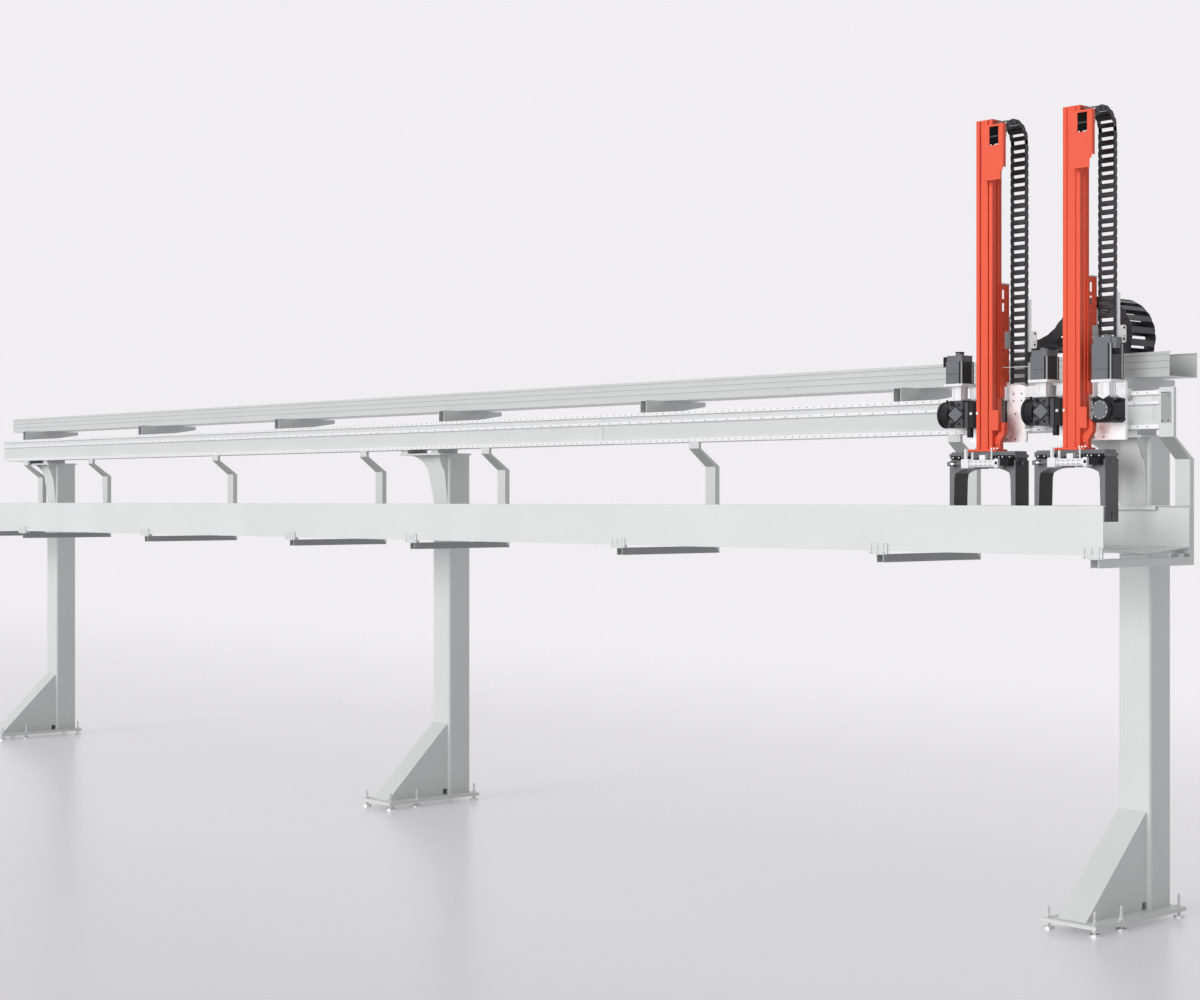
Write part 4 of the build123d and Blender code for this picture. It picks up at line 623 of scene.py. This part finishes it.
def dress_motor(node, middle, style):
    """Seam, corner groove and its strip, side panel with a line, cap screws and sockets; the strip and the line
    are painted highlights.
    """
    low, high = size_mm(node)
    x, half = middle + style["offset"], style["size"] / 2
    front, right, back = DRIVE_Y - half, x + half, DRIVE_Y + half
    top = high.z - style["plug"] - MOTOR_CAP_HEIGHT
    dark, gloss, light = Shape(), Shape(), Shape()
    seam = low.z + SEAM_HEIGHT
    near, far = GROOVE_FRONT
    dark.box((x - half + SEAM_LEFT, front - PROUD, seam), (right - near - 1, front, seam + SEAM))
    dark.box((right - near, front - PROUD, low.z), (right - far, front, top))
    near, far = GROOVE_SIDE
    dark.box((right, front + near, low.z), (right + PROUD, front + far, top))
    wide, deep = PLUG_HALF
    plug = ((x - wide, DRIVE_Y - deep, high.z - PLUG_SINK), (x + wide, DRIVE_Y + deep, high.z + PROUD))
    dark.box(*plug, 2)
    # Painted highlights: a pale rod in the corner groove and a pale line on the side panel
    corner = (right - HIGHLIGHT_INSET, front + HIGHLIGHT_INSET)
    light.rod((*corner, low.z), (*corner, top), HIGHLIGHT_RADIUS, 12)
    gloss.box((right, front + far, low.z + PANEL_FOOT), (right + PROUD, back - PANEL_BACK, top))
    near, far = GLINT_BACK
    glint = right + PROUD
    foot, head = low.z + GLINT_FOOT, top - GLINT_TOP
    light.box((glint, back - near, foot), (glint + GLINT_RELIEF, back - far, head))
    inset = half - CAP_SCREW_INSET
    for side in (-1, 1):
        for depth in (-1, 1):
            place = (x + side * inset, DRIVE_Y + depth * inset, high.z - style["plug"])
            light.screw(place, (0, 0, 1), CAP_SCREW, 3)
    if "socket" in style:
        near, far = SOCKET_DEPTH
        foot, head = (top - drop for drop in SOCKET_DROP)
        dark.box((right, front + near, foot), (right + style["socket"], front + far, head), 3)
    dark.piece(f"{node}_seams", RUBBER, "carriage")
    gloss.piece(f"{node}_panel", MOTOR_SIDE, "carriage")
    light.piece(f"{node}_strip", SHEET, "carriage")


# Z gearbox cover: centre from the robot's middle and its height, and its front face
COVER_PLACE = (-193, 2703)
COVER_FRONT = -123
# Diamond's half diagonal and its height by its width, and the plate's thickness
DIAMOND = 49
DIAMOND_SQUASH = 0.86
DIAMOND_THICK = 2
# Housing's face from the centre, and how far it stands behind the cover's front
HOUSING_WIDTH = (-52, 46)
HOUSING_HEIGHT = (-74, 76)
HOUSING_BACK = 7
# Bolt circle: radius, width by height, and the bolts' height and radius
COVER_BOLTS = 58
BOLTS_SQUASH = 0.88
BOLT_HEIGHT = 6
BOLT_RADIUS = 6.5
# Two studs: distance from the centre, side step, height and radius
STUD_LEVELS = (-60, 60)
STUD_STEP = 28
STUD_HEIGHT = 5
STUD_RADIUS = 14
# Raised bands of the drum, by share of its length and radius, and the drum's nipple
DRUM_LENGTH = 70
DRUM_BANDS = ((0.10, 74.4), (0.52, 70.4))
BAND_WIDTH = 5
BAND_RELIEF = 0.4
NIPPLE_PLACE = (30, -20)
NIPPLE_LEVELS = (66, 84)
# Blocks by their corners, with x from the robot's middle
GEAR_BAND = (((-143, -109.5, 2628), (-118, -109, 2770)),)
GEAR_GAP = (((-117, -110, 2628), (-113, -109, 2770)),)
GEAR_TAG = (((-103, -114, 2698), (-87, -109, 2712)),)
BEAM_TAG = (((-54, -120, 2698), (-41, -115, 2712)),)
GUIDE_COVERS = (((-152, -40, 2785), (-80, 4.5, 2852)), ((58, -20, 2775), (76, 4.5, 2852)))
GUIDE_WIPER = (((57, -4, 2618), (63, 4.5, 2775)),)


def add_blocks(shape, middle, blocks, bevel=0.0):
    """Adds blocks whose corners count from the robot's middle."""
    for low, high in blocks:
        shape.box(shifted((middle, 0, 0), low), shifted((middle, 0, 0), high), bevel)
    return shape


def dress_lift_drive(number):
    """Diamond cover and bolts, housing face, drum bands, gap, tags and guide covers."""
    middle = robot_middle(number)
    x, z = middle + COVER_PLACE[0], COVER_PLACE[1]
    front, face = COVER_FRONT, COVER_FRONT + HOUSING_BACK
    plate, dark, light, body, housing = Shape(), Shape(), Shape(), Shape(), Shape()
    tall = DIAMOND * DIAMOND_SQUASH
    corners = [(x - DIAMOND, z), (x, z - tall), (x + DIAMOND, z), (x, z + tall)]
    plate.prism(corners, front - DIAMOND_THICK, DIAMOND_THICK, "Y")
    left, right = shifted(x, HOUSING_WIDTH)
    bottom, top = shifted(z, HOUSING_HEIGHT)
    housing.box((left, face, bottom), (right, face + 1, top))
    for index in range(8):
        turn = math.radians(22.5 + 45 * index)
        across = COVER_BOLTS * math.cos(turn) * BOLTS_SQUASH
        place = (x + across, face, z + COVER_BOLTS * math.sin(turn))
        dark.stud(place, (0, -BOLT_HEIGHT, 0), BOLT_RADIUS, 10)
    for height in STUD_LEVELS:
        dark.stud((x - STUD_STEP, face, z + height), (0, -STUD_HEIGHT, 0), STUD_RADIUS, 16)
    drum_left = size_mm(f"z_gearbox_{number}")[0].x
    for share, radius in DRUM_BANDS:
        place = (drum_left + DRUM_LENGTH * share, DRIVE_Y, z)
        dark.stud(place, (BAND_WIDTH, 0, 0), radius + BAND_RELIEF, 48)
    nipple = (drum_left + NIPPLE_PLACE[0], DRIVE_Y + NIPPLE_PLACE[1])
    dark.rod((*nipple, z + NIPPLE_LEVELS[0]), (*nipple, z + NIPPLE_LEVELS[1]), 6, 10)
    add_blocks(body, middle, GEAR_BAND)
    add_blocks(dark, middle, GEAR_GAP)
    add_blocks(light, middle, GEAR_TAG, 1)
    for shape, kind, coat in (
        (plate, "cover", COVER_GREY),
        (housing, "housing", HOUSING),
        (dark, "screws", RUBBER),
        (body, "band", HOUSING),
        (light, "tag", WHITE),
    ):
        shape.piece(f"gear_{kind}_{number}", coat, "carriage")
    tag = add_blocks(Shape(), middle, BEAM_TAG, 1)
    tag.piece(f"beam_tag_{number}", WHITE, f"z_axis_{number}")
    covers = add_blocks(Shape(), middle, GUIDE_COVERS, 2)
    covers.piece(f"guide_covers_{number}", ALLOY, "carriage")
    wiper = add_blocks(Shape(), middle, GUIDE_WIPER)
    wiper.piece(f"guide_wiper_{number}", RUBBER, "carriage")


# Travel gearbox's cover: centre from the motor and above the node, radius, and its rim's
TRAVEL_COVER = (-6, 66)
TRAVEL_RADIUS = 50
TRAVEL_RIM = 54
# Ring of screws: count and radius; corner bolts and side ports from the motor's middle
TRAVEL_BOLTS = 10
TRAVEL_BOLT_RING = 44
CORNER_BOLTS = (56, 54)
PORT_REACH = (66, 80)
PORT_DEPTH = 8
PORTS = ((50, 14), (-50, 9))


def dress_travel_drive():
    """Round cover of the travel gearbox with its rim, ring of screws, corner bolts and ports."""
    x = robot_middle(2) + X_MOTOR["offset"]
    low = size_mm("x_gearbox")[0]
    centre, z = x + TRAVEL_COVER[0], low.z + TRAVEL_COVER[1]
    face = low.y - 1.5
    light, dark, cover = Shape(), Shape(), Shape()
    cover.rod((centre, low.y + 1, z), (centre, face, z), TRAVEL_RADIUS, 48)
    dark.rod((centre, low.y + 3, z), (centre, low.y + 0.5, z), TRAVEL_RIM, 48)
    step = 360 / TRAVEL_BOLTS
    for index in range(TRAVEL_BOLTS):
        turn = math.radians(step * index + step / 2)
        across, up = TRAVEL_BOLT_RING * math.cos(turn), TRAVEL_BOLT_RING * math.sin(turn)
        light.screw((centre + across, face, z + up), (0, -1, 0), 3.0, 2)
    for side in (-1, 1):
        for height in (-1, 1):
            across, up = x + side * CORNER_BOLTS[0], z + height * CORNER_BOLTS[1]
            dark.rod((across, low.y + 5, up), (across, low.y - 1, up), 5, 10)
    near, far = shifted(x, PORT_REACH)
    depth = DRIVE_Y - PORT_DEPTH
    for height, radius in PORTS:
        dark.rod((near, depth, z + height), (far, depth, z + height), radius, 16)
    cover.piece("x_gear_cover", COVER_GREY, "carriage")
    dark.piece("x_gear_dark", RUBBER, "carriage")
    light.piece("x_gear_screws", ZINC, "carriage")


# Screw holes of the carriage plates, as steps from the robot's middle and heights
PLATE_HOLES = (((107, 162), (2773, 2810)), ((-120, -60, 60, 120), (2562, 2700)))
PLATE_HOLE = 5
# Slots of the lower tie: count, start, pitch, length and height range
TIE_SLOTS = 4
TIE_START = 80
TIE_PITCH = 50
TIE_LENGTH = 16
TIE_LEVELS = (2608, 2612)


def plate_holes():
    """Dark screw holes in the carriage plates and slots in the lower tie."""
    holes = Shape()
    front = size_mm("carriage_plate_1")[0].y
    for number in (1, 2):
        middle = robot_middle(number)
        for steps, heights in PLATE_HOLES:
            for along in steps:
                for height in heights:
                    holes.stud((middle + along, front, height), (0, -PROUD, 0), PLATE_HOLE, 10)
    low = size_mm("coupling_bar")[0]
    for index in range(TIE_SLOTS):
        place = low.x + TIE_START + TIE_PITCH * index
        holes.box((place, front - PROUD, TIE_LEVELS[0]), (place + TIE_LENGTH, front, TIE_LEVELS[1]))
    holes.piece("plate_holes", DARK_BOLT, "carriage")


# Orange slotted post beside the vertical chain: depth, right face, sheet and slots by height
POST_DEPTH = (-55, 4)
POST_RIGHT = 61
POST_SLOTS = ((3266, 3312), (3335, 3385))
POST_BACK = 27
POST_SHEET = 3
SLOT_DEPTH = (-36, -16)
# Height of the post's foot, its rise above the CAD's and the start of its back sheet
POST_FOOT = 67
POST_RISE = 20
POST_BACK_START = 20
# Grey cheek beside the post, as spans in depth and height, and the cap on the post
CHEEK_SPANS = (((-12, 36), (3062, 3157)), ((26, 36), (3157, 3240)), ((36, 66), (3100, 3112)))
CHEEK_THICK = 1.5
POST_CAP = 7
POST_HOLES = (2930, 2990, 3050, 3110, 3170, 3220)
POST_HOLE_DEPTH = -26
# Holes of the grey ear beside the chain, and the ear's front face
EAR_HOLES = ((205, 3140), (203, 3080))
EAR_FACE = 69


def slotted_post(number):
    """The post's sheet as ribs and bridges between its slots, and the cheek beside its top."""
    middle = robot_middle(number)
    low, high = size_mm(f"z_chain_post_{number}")
    left, right = middle + POST_RIGHT - POST_SHEET, middle + POST_RIGHT
    foot, top = low.z + POST_FOOT, high.z + POST_RISE
    post = Shape()
    post.box((low.x, low.y, low.z), (high.x, high.y, foot))
    post.box((left, POST_DEPTH[0], foot), (right, SLOT_DEPTH[0], top))
    post.box((left, SLOT_DEPTH[1], foot), (right, POST_DEPTH[1], top))
    post.box((left, POST_DEPTH[1], foot + POST_BACK_START), (right, POST_BACK, top))
    level = foot
    for start, end in (*POST_SLOTS, (top, top)):
        post.box((left, SLOT_DEPTH[0], level), (right, SLOT_DEPTH[1], start))
        level = end
    made = post.piece(f"post_{number}", ORANGE, "carriage", "orange")
    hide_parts(f"z_chain_post_{number}")
    sheet = Shape()
    for (front, back), (bottom, above) in CHEEK_SPANS:
        sheet.box((right, front, bottom), (right + CHEEK_THICK, back, above))
    sheet.box((left, SLOT_DEPTH[0] - 1, top), (right + 3, POST_BACK, top + POST_CAP))
    sheet.piece(f"cheek_sheet_{number}", SHEET, "carriage")
    holes = Shape()
    for height in POST_HOLES:
        holes.stud((right, POST_HOLE_DEPTH, height), (PROUD, 0, 0), 4, 8)
    for along, height in EAR_HOLES:
        holes.stud((middle + along, EAR_FACE, height), (0, -PROUD, 0), 7, 12)
    holes.piece(f"post_holes_{number}", RUBBER, "carriage")


# Gripper's guide rail: front, half length, thickness and levels above the rail plate's foot
RAIL_FRONT = -135
RAIL_HALF = 224
RAIL_THICK = 3
RAIL_LEVELS = (14, 26)
# Dark blocks on the rail: start and width, their depth and height, and the screws in them
GRIPPER_BLOCKS = ((-205, 60), (-120, 36), (40, 46), (100, 60), (170, 50))
BLOCK_DEPTH = 12
BLOCK_LEVELS = (-8, 12)
BLOCK_SCREWS = (-190, -150, 62, 124, 148, 196)
FLANGE_SCREWS = (-88, -60, 58, 76, 96)
FLANGE_SCREW_DEPTH = -125
# Pneumatic tube: front, middle above its foot, slots and their height, port, plug and nozzle
CYLINDER_FRONT = -203
TUBE_MIDDLE = 26
TUBE_ROWS = (-9, 9)
TUBE_SLOTS = 5
TUBE_SLOT_START = -35
TUBE_SLOT_PITCH = 32
TUBE_SLOT_LENGTH = 18
TUBE_SLOT_HALF = 1.2
TUBE_SLOT_DEPTH = (4.6, 5.4)
PORT_PLACE = (146, 2)
PORT_RADIUS = 9
NOZZLE_SPAN = (-178, -160)
NOZZLE_DEPTH = -177
NOZZLE_RADII = (11, 6)
PLUG_SPAN = (160, 214)
PLUG_DEPTH = (-160, -120)
PLUG_LEVELS = (-14, 22)


def gripper_details(number):
    """Guide rail, dark blocks, tube slots, port, plug, nozzle and screws on one gripper."""
    middle = robot_middle(number)
    low, high = size_mm(f"rail_plate_{number}")
    base, axis = low.z, f"z_axis_{number}"
    rail, dark, pale = Shape(), Shape(), Shape()
    bottom, top = shifted(base, RAIL_LEVELS)
    rail.box((middle - RAIL_HALF, RAIL_FRONT - RAIL_THICK, bottom), (middle + RAIL_HALF, RAIL_FRONT, top))
    front = RAIL_FRONT - BLOCK_DEPTH
    bottom, top = shifted(base, BLOCK_LEVELS)
    for along, width in GRIPPER_BLOCKS:
        left = middle + along
        dark.box((left, front, bottom), (left + width, RAIL_FRONT, top), 2)
    for along in BLOCK_SCREWS:
        pale.screw((middle + along, front, base + 3), (0, -1, 0), 4, 3)
    for along in FLANGE_SCREWS:
        pale.screw((middle + along, FLANGE_SCREW_DEPTH, high.z), (0, 0, 1), 6, 8)
    z = size_mm(f"gripper_cylinder_{number}")[0].z + TUBE_MIDDLE
    near, far = shifted(CYLINDER_FRONT, TUBE_SLOT_DEPTH)
    for height in TUBE_ROWS:
        bottom, top = z + height - TUBE_SLOT_HALF, z + height + TUBE_SLOT_HALF
        for index in range(TUBE_SLOTS):
            start = middle + TUBE_SLOT_START + TUBE_SLOT_PITCH * index
            dark.box((start, near, bottom), (start + TUBE_SLOT_LENGTH, far, top))
    port, level = middle + PORT_PLACE[0], z + PORT_PLACE[1]
    dark.rod((port, CYLINDER_FRONT + 2, level), (port, CYLINDER_FRONT - 0.5, level), PORT_RADIUS, 16)
    left, right = shifted(middle, PLUG_SPAN)
    bottom, top = shifted(z, PLUG_LEVELS)
    dark.box((left, PLUG_DEPTH[0], bottom), (right, PLUG_DEPTH[1], top), 3)
    tip, root = shifted(middle, NOZZLE_SPAN)
    wide, thin = NOZZLE_RADII
    pale.rod((tip, NOZZLE_DEPTH, z), (root, NOZZLE_DEPTH, z), wide, 16, thin)
    rail.piece(f"gripper_rail_{number}", MOTOR, axis)
    dark.piece(f"gripper_dark_{number}", RUBBER, axis)
    pale.piece(f"gripper_screws_{number}", ZINC, axis)


# Cover at the top of a vertical beam: left, step and right edge, step height and corner
COVER_EDGES = (21, 148, 165)
COVER_STEP = 4018
COVER_CORNER = 22
COVER_SHEET = 3
COVER_LIP = 23
COVER_RIB = (46, 49)
# Window: sides and levels of the opening, a near-black sheet of painted shade behind it, the bar and the feet
COVER_WINDOW = (73, 134)
WINDOW_LEVELS = (4163, 4266)
SHADE_LAP = 3
SHADE_LEVELS = (4160, 4268)
SHADE_THICK = 1.5
WINDOW_BAR = (4208, 4216)
WINDOW_BAR_INSET = 4
WINDOW_FEET = (4, 34, 48)
WINDOW_FOOT = (9, 6)
# Painted shade strip along the cover's left edge: width, start behind the front and top
EDGE_WIDTH = 1.5
EDGE_START = 0.2
EDGE_TOP = 4200


def top_cover(number):
    """Stepped orange cover with its window, in place of the plain one."""
    middle, axis = robot_middle(number), f"z_axis_{number}"
    low, high = size_mm(f"top_cover_{number}")
    left, step, right = shifted(middle, COVER_EDGES)
    opening_left, opening_right = shifted(middle, COVER_WINDOW)
    front, back = low.y, low.y + COVER_SHEET
    sill, lintel = WINDOW_LEVELS
    cover = Shape()
    cover.box((left, front, low.z), (step, back, sill))
    cover.box((left, front, sill), (opening_left, back, lintel))
    cover.box((opening_right, front, sill), (right, back, lintel))
    cover.box((left, front, lintel), (right, back, high.z))
    corner = COVER_STEP + COVER_CORNER
    ear = [(step, sill), (right, sill), (right, corner), (step + 8, COVER_STEP), (step, COVER_STEP)]
    cover.prism(ear, front, COVER_SHEET, "Y")
    cover.box((right - COVER_SHEET, back, corner), (right, back + COVER_LIP, high.z))
    rib_left, rib_right = shifted(middle, COVER_RIB)
    cover.box((rib_left, back, low.z), (rib_right, high.y, high.z))
    made = cover.piece(f"cover_{number}", ORANGE, axis, "orange")
    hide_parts(f"top_cover_{number}")
    edge = Shape().box((left - EDGE_WIDTH, front + EDGE_START, low.z), (left, back, EDGE_TOP))
    edge.piece(f"cover_shade_edge_{number}", EDGE_SHADE, axis)
    shade_sheet, bars, feet = Shape(), Shape(), Shape()
    foot, head = SHADE_LEVELS
    # Painted shade: a matte near-black sheet behind the window
    shade_sheet.box((opening_left - SHADE_LAP, back, foot), (opening_right + SHADE_LAP, back + SHADE_THICK, head))
    foot, head = WINDOW_BAR
    bars.box((opening_left + WINDOW_BAR_INSET, back - 1, foot), (opening_right - WINDOW_BAR_INSET, back, head))
    shade_sheet.piece(f"cover_window_shade_{number}", WINDOW_SHADE, axis)
    bars.piece(f"cover_bars_{number}", CHAIN, axis)
    for along in WINDOW_FEET:
        place = opening_left + along
        feet.box((place, back - 1, sill), (place + WINDOW_FOOT[0], back, sill + WINDOW_FOOT[1]))
    feet.piece(f"cover_feet_{number}", WHITE, axis)


# Elbow beside the beam's foot: blocks as x from the robot's middle, height and bevel, and screws
ELBOW_DEPTH = (-95, -57)
ELBOW_BLOCKS = (((84, 118.5), (2606, 2642), 2), ((56, 80), (2513, 2547), 4))
ELBOW_TOP_SCREWS = (92, 108)
ELBOW_FRONT_SCREWS = (62, 74)
ELBOW_SCREW_PLACES = ((-76, 2642), (-95, 2530))


def elbow_bracket(number):
    """Block, knuckle and screws on the elbow beside a vertical beam's foot."""
    middle, axis = robot_middle(number), f"z_axis_{number}"
    block, screws = Shape(), Shape()
    front, back = ELBOW_DEPTH
    for (left, right), (bottom, top), bevel in ELBOW_BLOCKS:
        block.box((middle + left, front, bottom), (middle + right, back, top), bevel)
    above, ahead = ELBOW_SCREW_PLACES
    for along in ELBOW_TOP_SCREWS:
        screws.screw((middle + along, *above), (0, 0, 1), 3, 4)
    for along in ELBOW_FRONT_SCREWS:
        screws.screw((middle + along, *ahead), (0, -1, 0), 4, 3)
    block.piece(f"elbow_block_{number}", ORANGE, axis, "orange")
    screws.piece(f"elbow_screws_{number}", DARK_BOLT, axis)


# Thin rod between the robots: depth, height at its ends, reach into the motor and radius
ROD_DEPTH = -30
ROD_LEVELS = (2957, 2953)
ROD_REACH = 12
ROD_RADIUS = 2.5


def link_rod():
    """Thin rod from the first robot's post to the second one's motor."""
    start = (robot_middle(1) + POST_RIGHT, ROD_DEPTH, ROD_LEVELS[0])
    end = (size_mm("z_motor_2")[0].x + ROD_REACH, ROD_DEPTH, ROD_LEVELS[1])
    Shape().rod(start, end, ROD_RADIUS, 10).piece("link_rod", SHEET, "carriage")


# Front face of the end bracket's neck
NECK_FACE = 60
# Beam's end: how far its body is set back, lap under the front plate, and the plate's depth
END_SETBACK = 50
END_LAP = 2
END_DEPTH = 130
# Painted shade of a recess on the neck, by x from the beam's end and by its margins in height; screws and a slit
RECESS_SPAN = (12, 74)
RECESS_MARGINS = (28, 12)
END_SCREWS = ((20, 40), (56, 42), (56, 172))
SLIT_SPAN = (12, 66)
SLIT_DROP = (14, 10)
SLIT_RELIEF = 0.4


def beam_end():
    """Last beam length, set back behind its front plate, the bracket's recess as a patch of painted shade, and
    screws.
    """
    low, high = size_mm("beam_segment_3")
    body_end = high.x - END_SETBACK
    end = Shape()
    end.box(low, (body_end, high.y, high.z), 6)
    end.box((body_end - END_LAP, low.y, low.z), (high.x, low.y + END_DEPTH, high.z), 3)
    made = end.piece("beam_end", PAINT, "frame", "frame_paint")
    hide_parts("beam_segment_3")
    recess, screws = Shape(), Shape()
    # Painted shade: a thin dark patch on the neck's flat face stands for its recess
    front = NECK_FACE - PROUD
    left, right = shifted(high.x, RECESS_SPAN)
    recess.box((left, front, low.z + RECESS_MARGINS[0]), (right, NECK_FACE, high.z - RECESS_MARGINS[1]))
    recess.piece("neck_recess_shade", PAINTED_SHADE, "frame")
    for along, height in END_SCREWS:
        screws.screw((high.x + along, front, low.z + height), (0, -1, 0), 4, 3)
    left, right = shifted(high.x, SLIT_SPAN)
    screws.box((left, front - SLIT_RELIEF, high.z - SLIT_DROP[0]), (right, front, high.z - SLIT_DROP[1]))
    screws.piece("end_screws", DARK_BOLT, "frame")


# Lines of the bends along the trough, as heights above its bottom, and their width
TROUGH_BENDS = (44, 80, 113)
BEND_WIDTH = 3
# Lines inside the trough: length from its right end, and place from its back face
INSIDE_LENGTH = 900
INSIDE_PLACE = 4


def trough_bends():
    """Shadow lines of the pressed bends along the trough's front, and inside its right end."""
    low, high = size_mm("cable_trough")
    lines = Shape()
    inside = high.y - INSIDE_PLACE
    for height in TROUGH_BENDS:
        foot, head = low.z + height, low.z + height + BEND_WIDTH
        lines.box((low.x, low.y - PROUD, foot), (high.x, low.y, head))
        lines.box((high.x - INSIDE_LENGTH, inside - PROUD, foot), (high.x, inside, head))
    lines.piece("trough_lines", PAINTED_SHADE, "frame")


# Combs that hold the tray's front: width, height range above the bar's foot, corner and depth
COMB_WIDTH = 130
COMB_HEIGHT = (1, 62)
COMB_CORNER = 8
COMB_DEPTH = 9
# Slits and screws of a comb: pitch, half width, foot, and the screws' height and radius
COMB_PITCH = 44
SLIT_HALF = 2
SLIT_FOOT = 20
COMB_SCREW = (9, 5)
# Faces of the comb and of its slits, from the support's front
COMB_FACE = 0.6
SLIT_FACE = 0.1
# Tray brackets: half of the bar, width and left edges
BAR_HALF = 25
BRACKET_WIDTH = 88
BRACKET_LEFTS = (6500, 5109, 3007, 888, -594, -2703, -4822, -6064)


def tray_combs():
    """Wide combed clamp with slits of painted shade and screws in front of the tray on every bracket."""
    low = size_mm("tray_supports")[0]
    tray_end = size_mm("tray_front_wall")[1].x
    bottom, top = shifted(low.z, COMB_HEIGHT)
    face, front = low.y + COMB_FACE, low.y + SLIT_FACE
    combs, slits = Shape(), Shape()
    for bracket in BRACKET_LEFTS:
        middle = bracket + BRACKET_WIDTH - BAR_HALF
        left = middle - COMB_WIDTH / 2
        right = min(left + COMB_WIDTH, tray_end)
        corners = [(left, bottom), (right, bottom), (right, top - COMB_CORNER)]
        corners += [(right - COMB_CORNER, top), (left + COMB_CORNER, top), (left, top - COMB_CORNER)]
        combs.prism(corners, face, COMB_DEPTH, "Y")
        for step in (-1, 0, 1):
            place, level = middle + step * COMB_PITCH, bottom + COMB_SCREW[0]
            # Slits are painted shade laid on the comb's face, and the screws share that finish
            slits.box((place - SLIT_HALF, front, bottom + SLIT_FOOT), (place + SLIT_HALF, face, top))
            slits.rod((place, front, level), (place, face, level), COMB_SCREW[1], 10)
    combs.piece("tray_combs", TRAY, "frame")
    slits.piece("tray_comb_slits", PAINTED_SHADE, "frame")


# Fold along the tray's back wall: margins at its ends, depth and drop from the wall's top
FOLD_ENDS = (300, 190)
FOLD_DEPTH = 6
FOLD_DROP = (22, 4)


def tray_trim():
    """Folded top edge along the tray's back wall."""
    low, high = size_mm("tray_back_wall")
    left, right = low.x + FOLD_ENDS[0], high.x - FOLD_ENDS[1]
    foot, head = (high.z - drop for drop in FOLD_DROP)
    trim = Shape().box((left, low.y - FOLD_DEPTH, foot), (right, low.y, head))
    trim.piece("tray_fold", TRAY, "frame")


def stage():
    """Pale floor that fades into the backdrop, plain soft light and the photograph's camera."""
    scene = bpy.context.scene
    scene.view_settings.view_transform = "Standard"
    world = bpy.data.worlds.new("studio")
    scene.world = world
    world.use_nodes = True
    tree = world.node_tree
    light = tree.nodes["Background"]
    light.inputs["Color"].default_value = (1, 1, 1, 1)
    light.inputs["Strength"].default_value = WORLD_STRENGTH
    backdrop = add(tree, "Background", {"Color": (*BACKGROUND, 1)})
    paths = add(tree, "LightPath").outputs
    rays = {0: paths["Is Camera Ray"], 1: paths["Is Glossy Ray"]}
    seen = add(tree, "Math", rays, operation="MAXIMUM").outputs[0]
    mix = add(tree, "MixShader", {0: seen, 1: light.outputs[0], 2: backdrop.outputs[0]})
    tree.links.new(mix.outputs[0], tree.nodes["World Output"].inputs["Surface"])

    for name, strength, angle, aim in SUNS:
        lamp = bpy.data.lights.new(name, "SUN")
        lamp.energy = strength
        lamp.angle = math.radians(angle)
        holder = bpy.data.objects.new(name, lamp)
        holder.rotation_mode = "QUATERNION"
        holder.rotation_quaternion = Vector(aim).to_track_quat("-Z", "Y")
        scene.collection.objects.link(holder)

    floor_data = bpy.data.meshes.new("floor")
    corners = [(x * FLOOR_HALF, y * FLOOR_HALF, 0) for x, y in ((-1, -1), (1, -1), (1, 1), (-1, 1))]
    floor_data.from_pydata(corners, [], [(0, 1, 2, 3)])
    floor = bpy.data.objects.new("floor", floor_data)
    scene.collection.objects.link(floor)
    floor_data.materials.append(floor_finish())

    camera_data = bpy.data.cameras.new("camera")
    camera_data.lens = CAMERA_LENS
    camera_data.sensor_width = SENSOR_WIDTH
    camera_data.shift_x = SHIFT_X
    camera_data.shift_y = SHIFT_Y
    camera_data.clip_end = CLIP_END
    camera = bpy.data.objects.new("camera", camera_data)
    camera.location = CAMERA_PLACE
    camera.rotation_euler = (math.radians(90), 0, CAMERA_YAW)
    scene.collection.objects.link(camera)
    scene.camera = camera


def floor_finish():
    """Softly glossy floor with a painted glow that brightens towards the backdrop at the back and far out."""
    made, tree, shader = material("floor")
    place = add(tree, "TexCoord").outputs["Object"]
    back = add(tree, "SeparateXYZ", {0: place}).outputs["Y"]
    out = add(tree, "VectorMath", {0: place}, operation="LENGTH").outputs["Value"]
    ramps = []
    for source, (low, high) in ((back, FLOOR_DEPTH), (out, FLOOR_REACH)):
        band = {"Value": source, "From Min": low, "From Max": high}
        ramp = add(tree, "MapRange", band, interpolation_type="SMOOTHSTEP")
        ramps.append(ramp.outputs["Result"])
    fade = add(tree, "Math", dict(enumerate(ramps)), operation="MAXIMUM").outputs[0]
    shown = tint(tree, fade, FLOOR_NEAR, BACKGROUND)
    shader.inputs["Base Color"].default_value = (*FLOOR_SHADE, 1)
    shader.inputs["Roughness"].default_value = FLOOR_ROUGHNESS
    shader.inputs["Specular IOR Level"].default_value = FLOOR_REFLECTION
    # Painted light: the floor glows with its tone less the share the lamps give
    inputs = {"Factor": 1.0, "A": shown, "B": (*FLOOR_LIT, 1)}
    lift = add(tree, "Mix", inputs, data_type="RGBA", blend_type="SUBTRACT")
    glow = add(tree, "Emission", {"Color": lift.outputs["Result"]})
    near = add(tree, "AddShader", {0: shader.outputs[0], 1: glow.outputs[0]})
    far = add(tree, "Emission", {"Color": shown})
    mix = add(tree, "MixShader", {0: fade, 1: near.outputs[0], 2: far.outputs[0]})
    tree.links.new(mix.outputs[0], tree.nodes["Material Output"].inputs["Surface"])
    return made


stage()
dress_nodes()
strip_bolts()
beam_end()
trough_bends()
tray_trim()
tray_combs()
travel_chain()
dress_travel_drive()
dress_motor("x_motor", robot_middle(2), X_MOTOR)
plate_holes()
link_rod()
for robot in (1, 2):
    lift_chain(robot)
    dress_motor(f"z_motor_{robot}", robot_middle(robot), Z_MOTOR)
    dress_lift_drive(robot)
    slotted_post(robot)
    top_cover(robot)
    elbow_bracket(robot)
    gripper_details(robot)
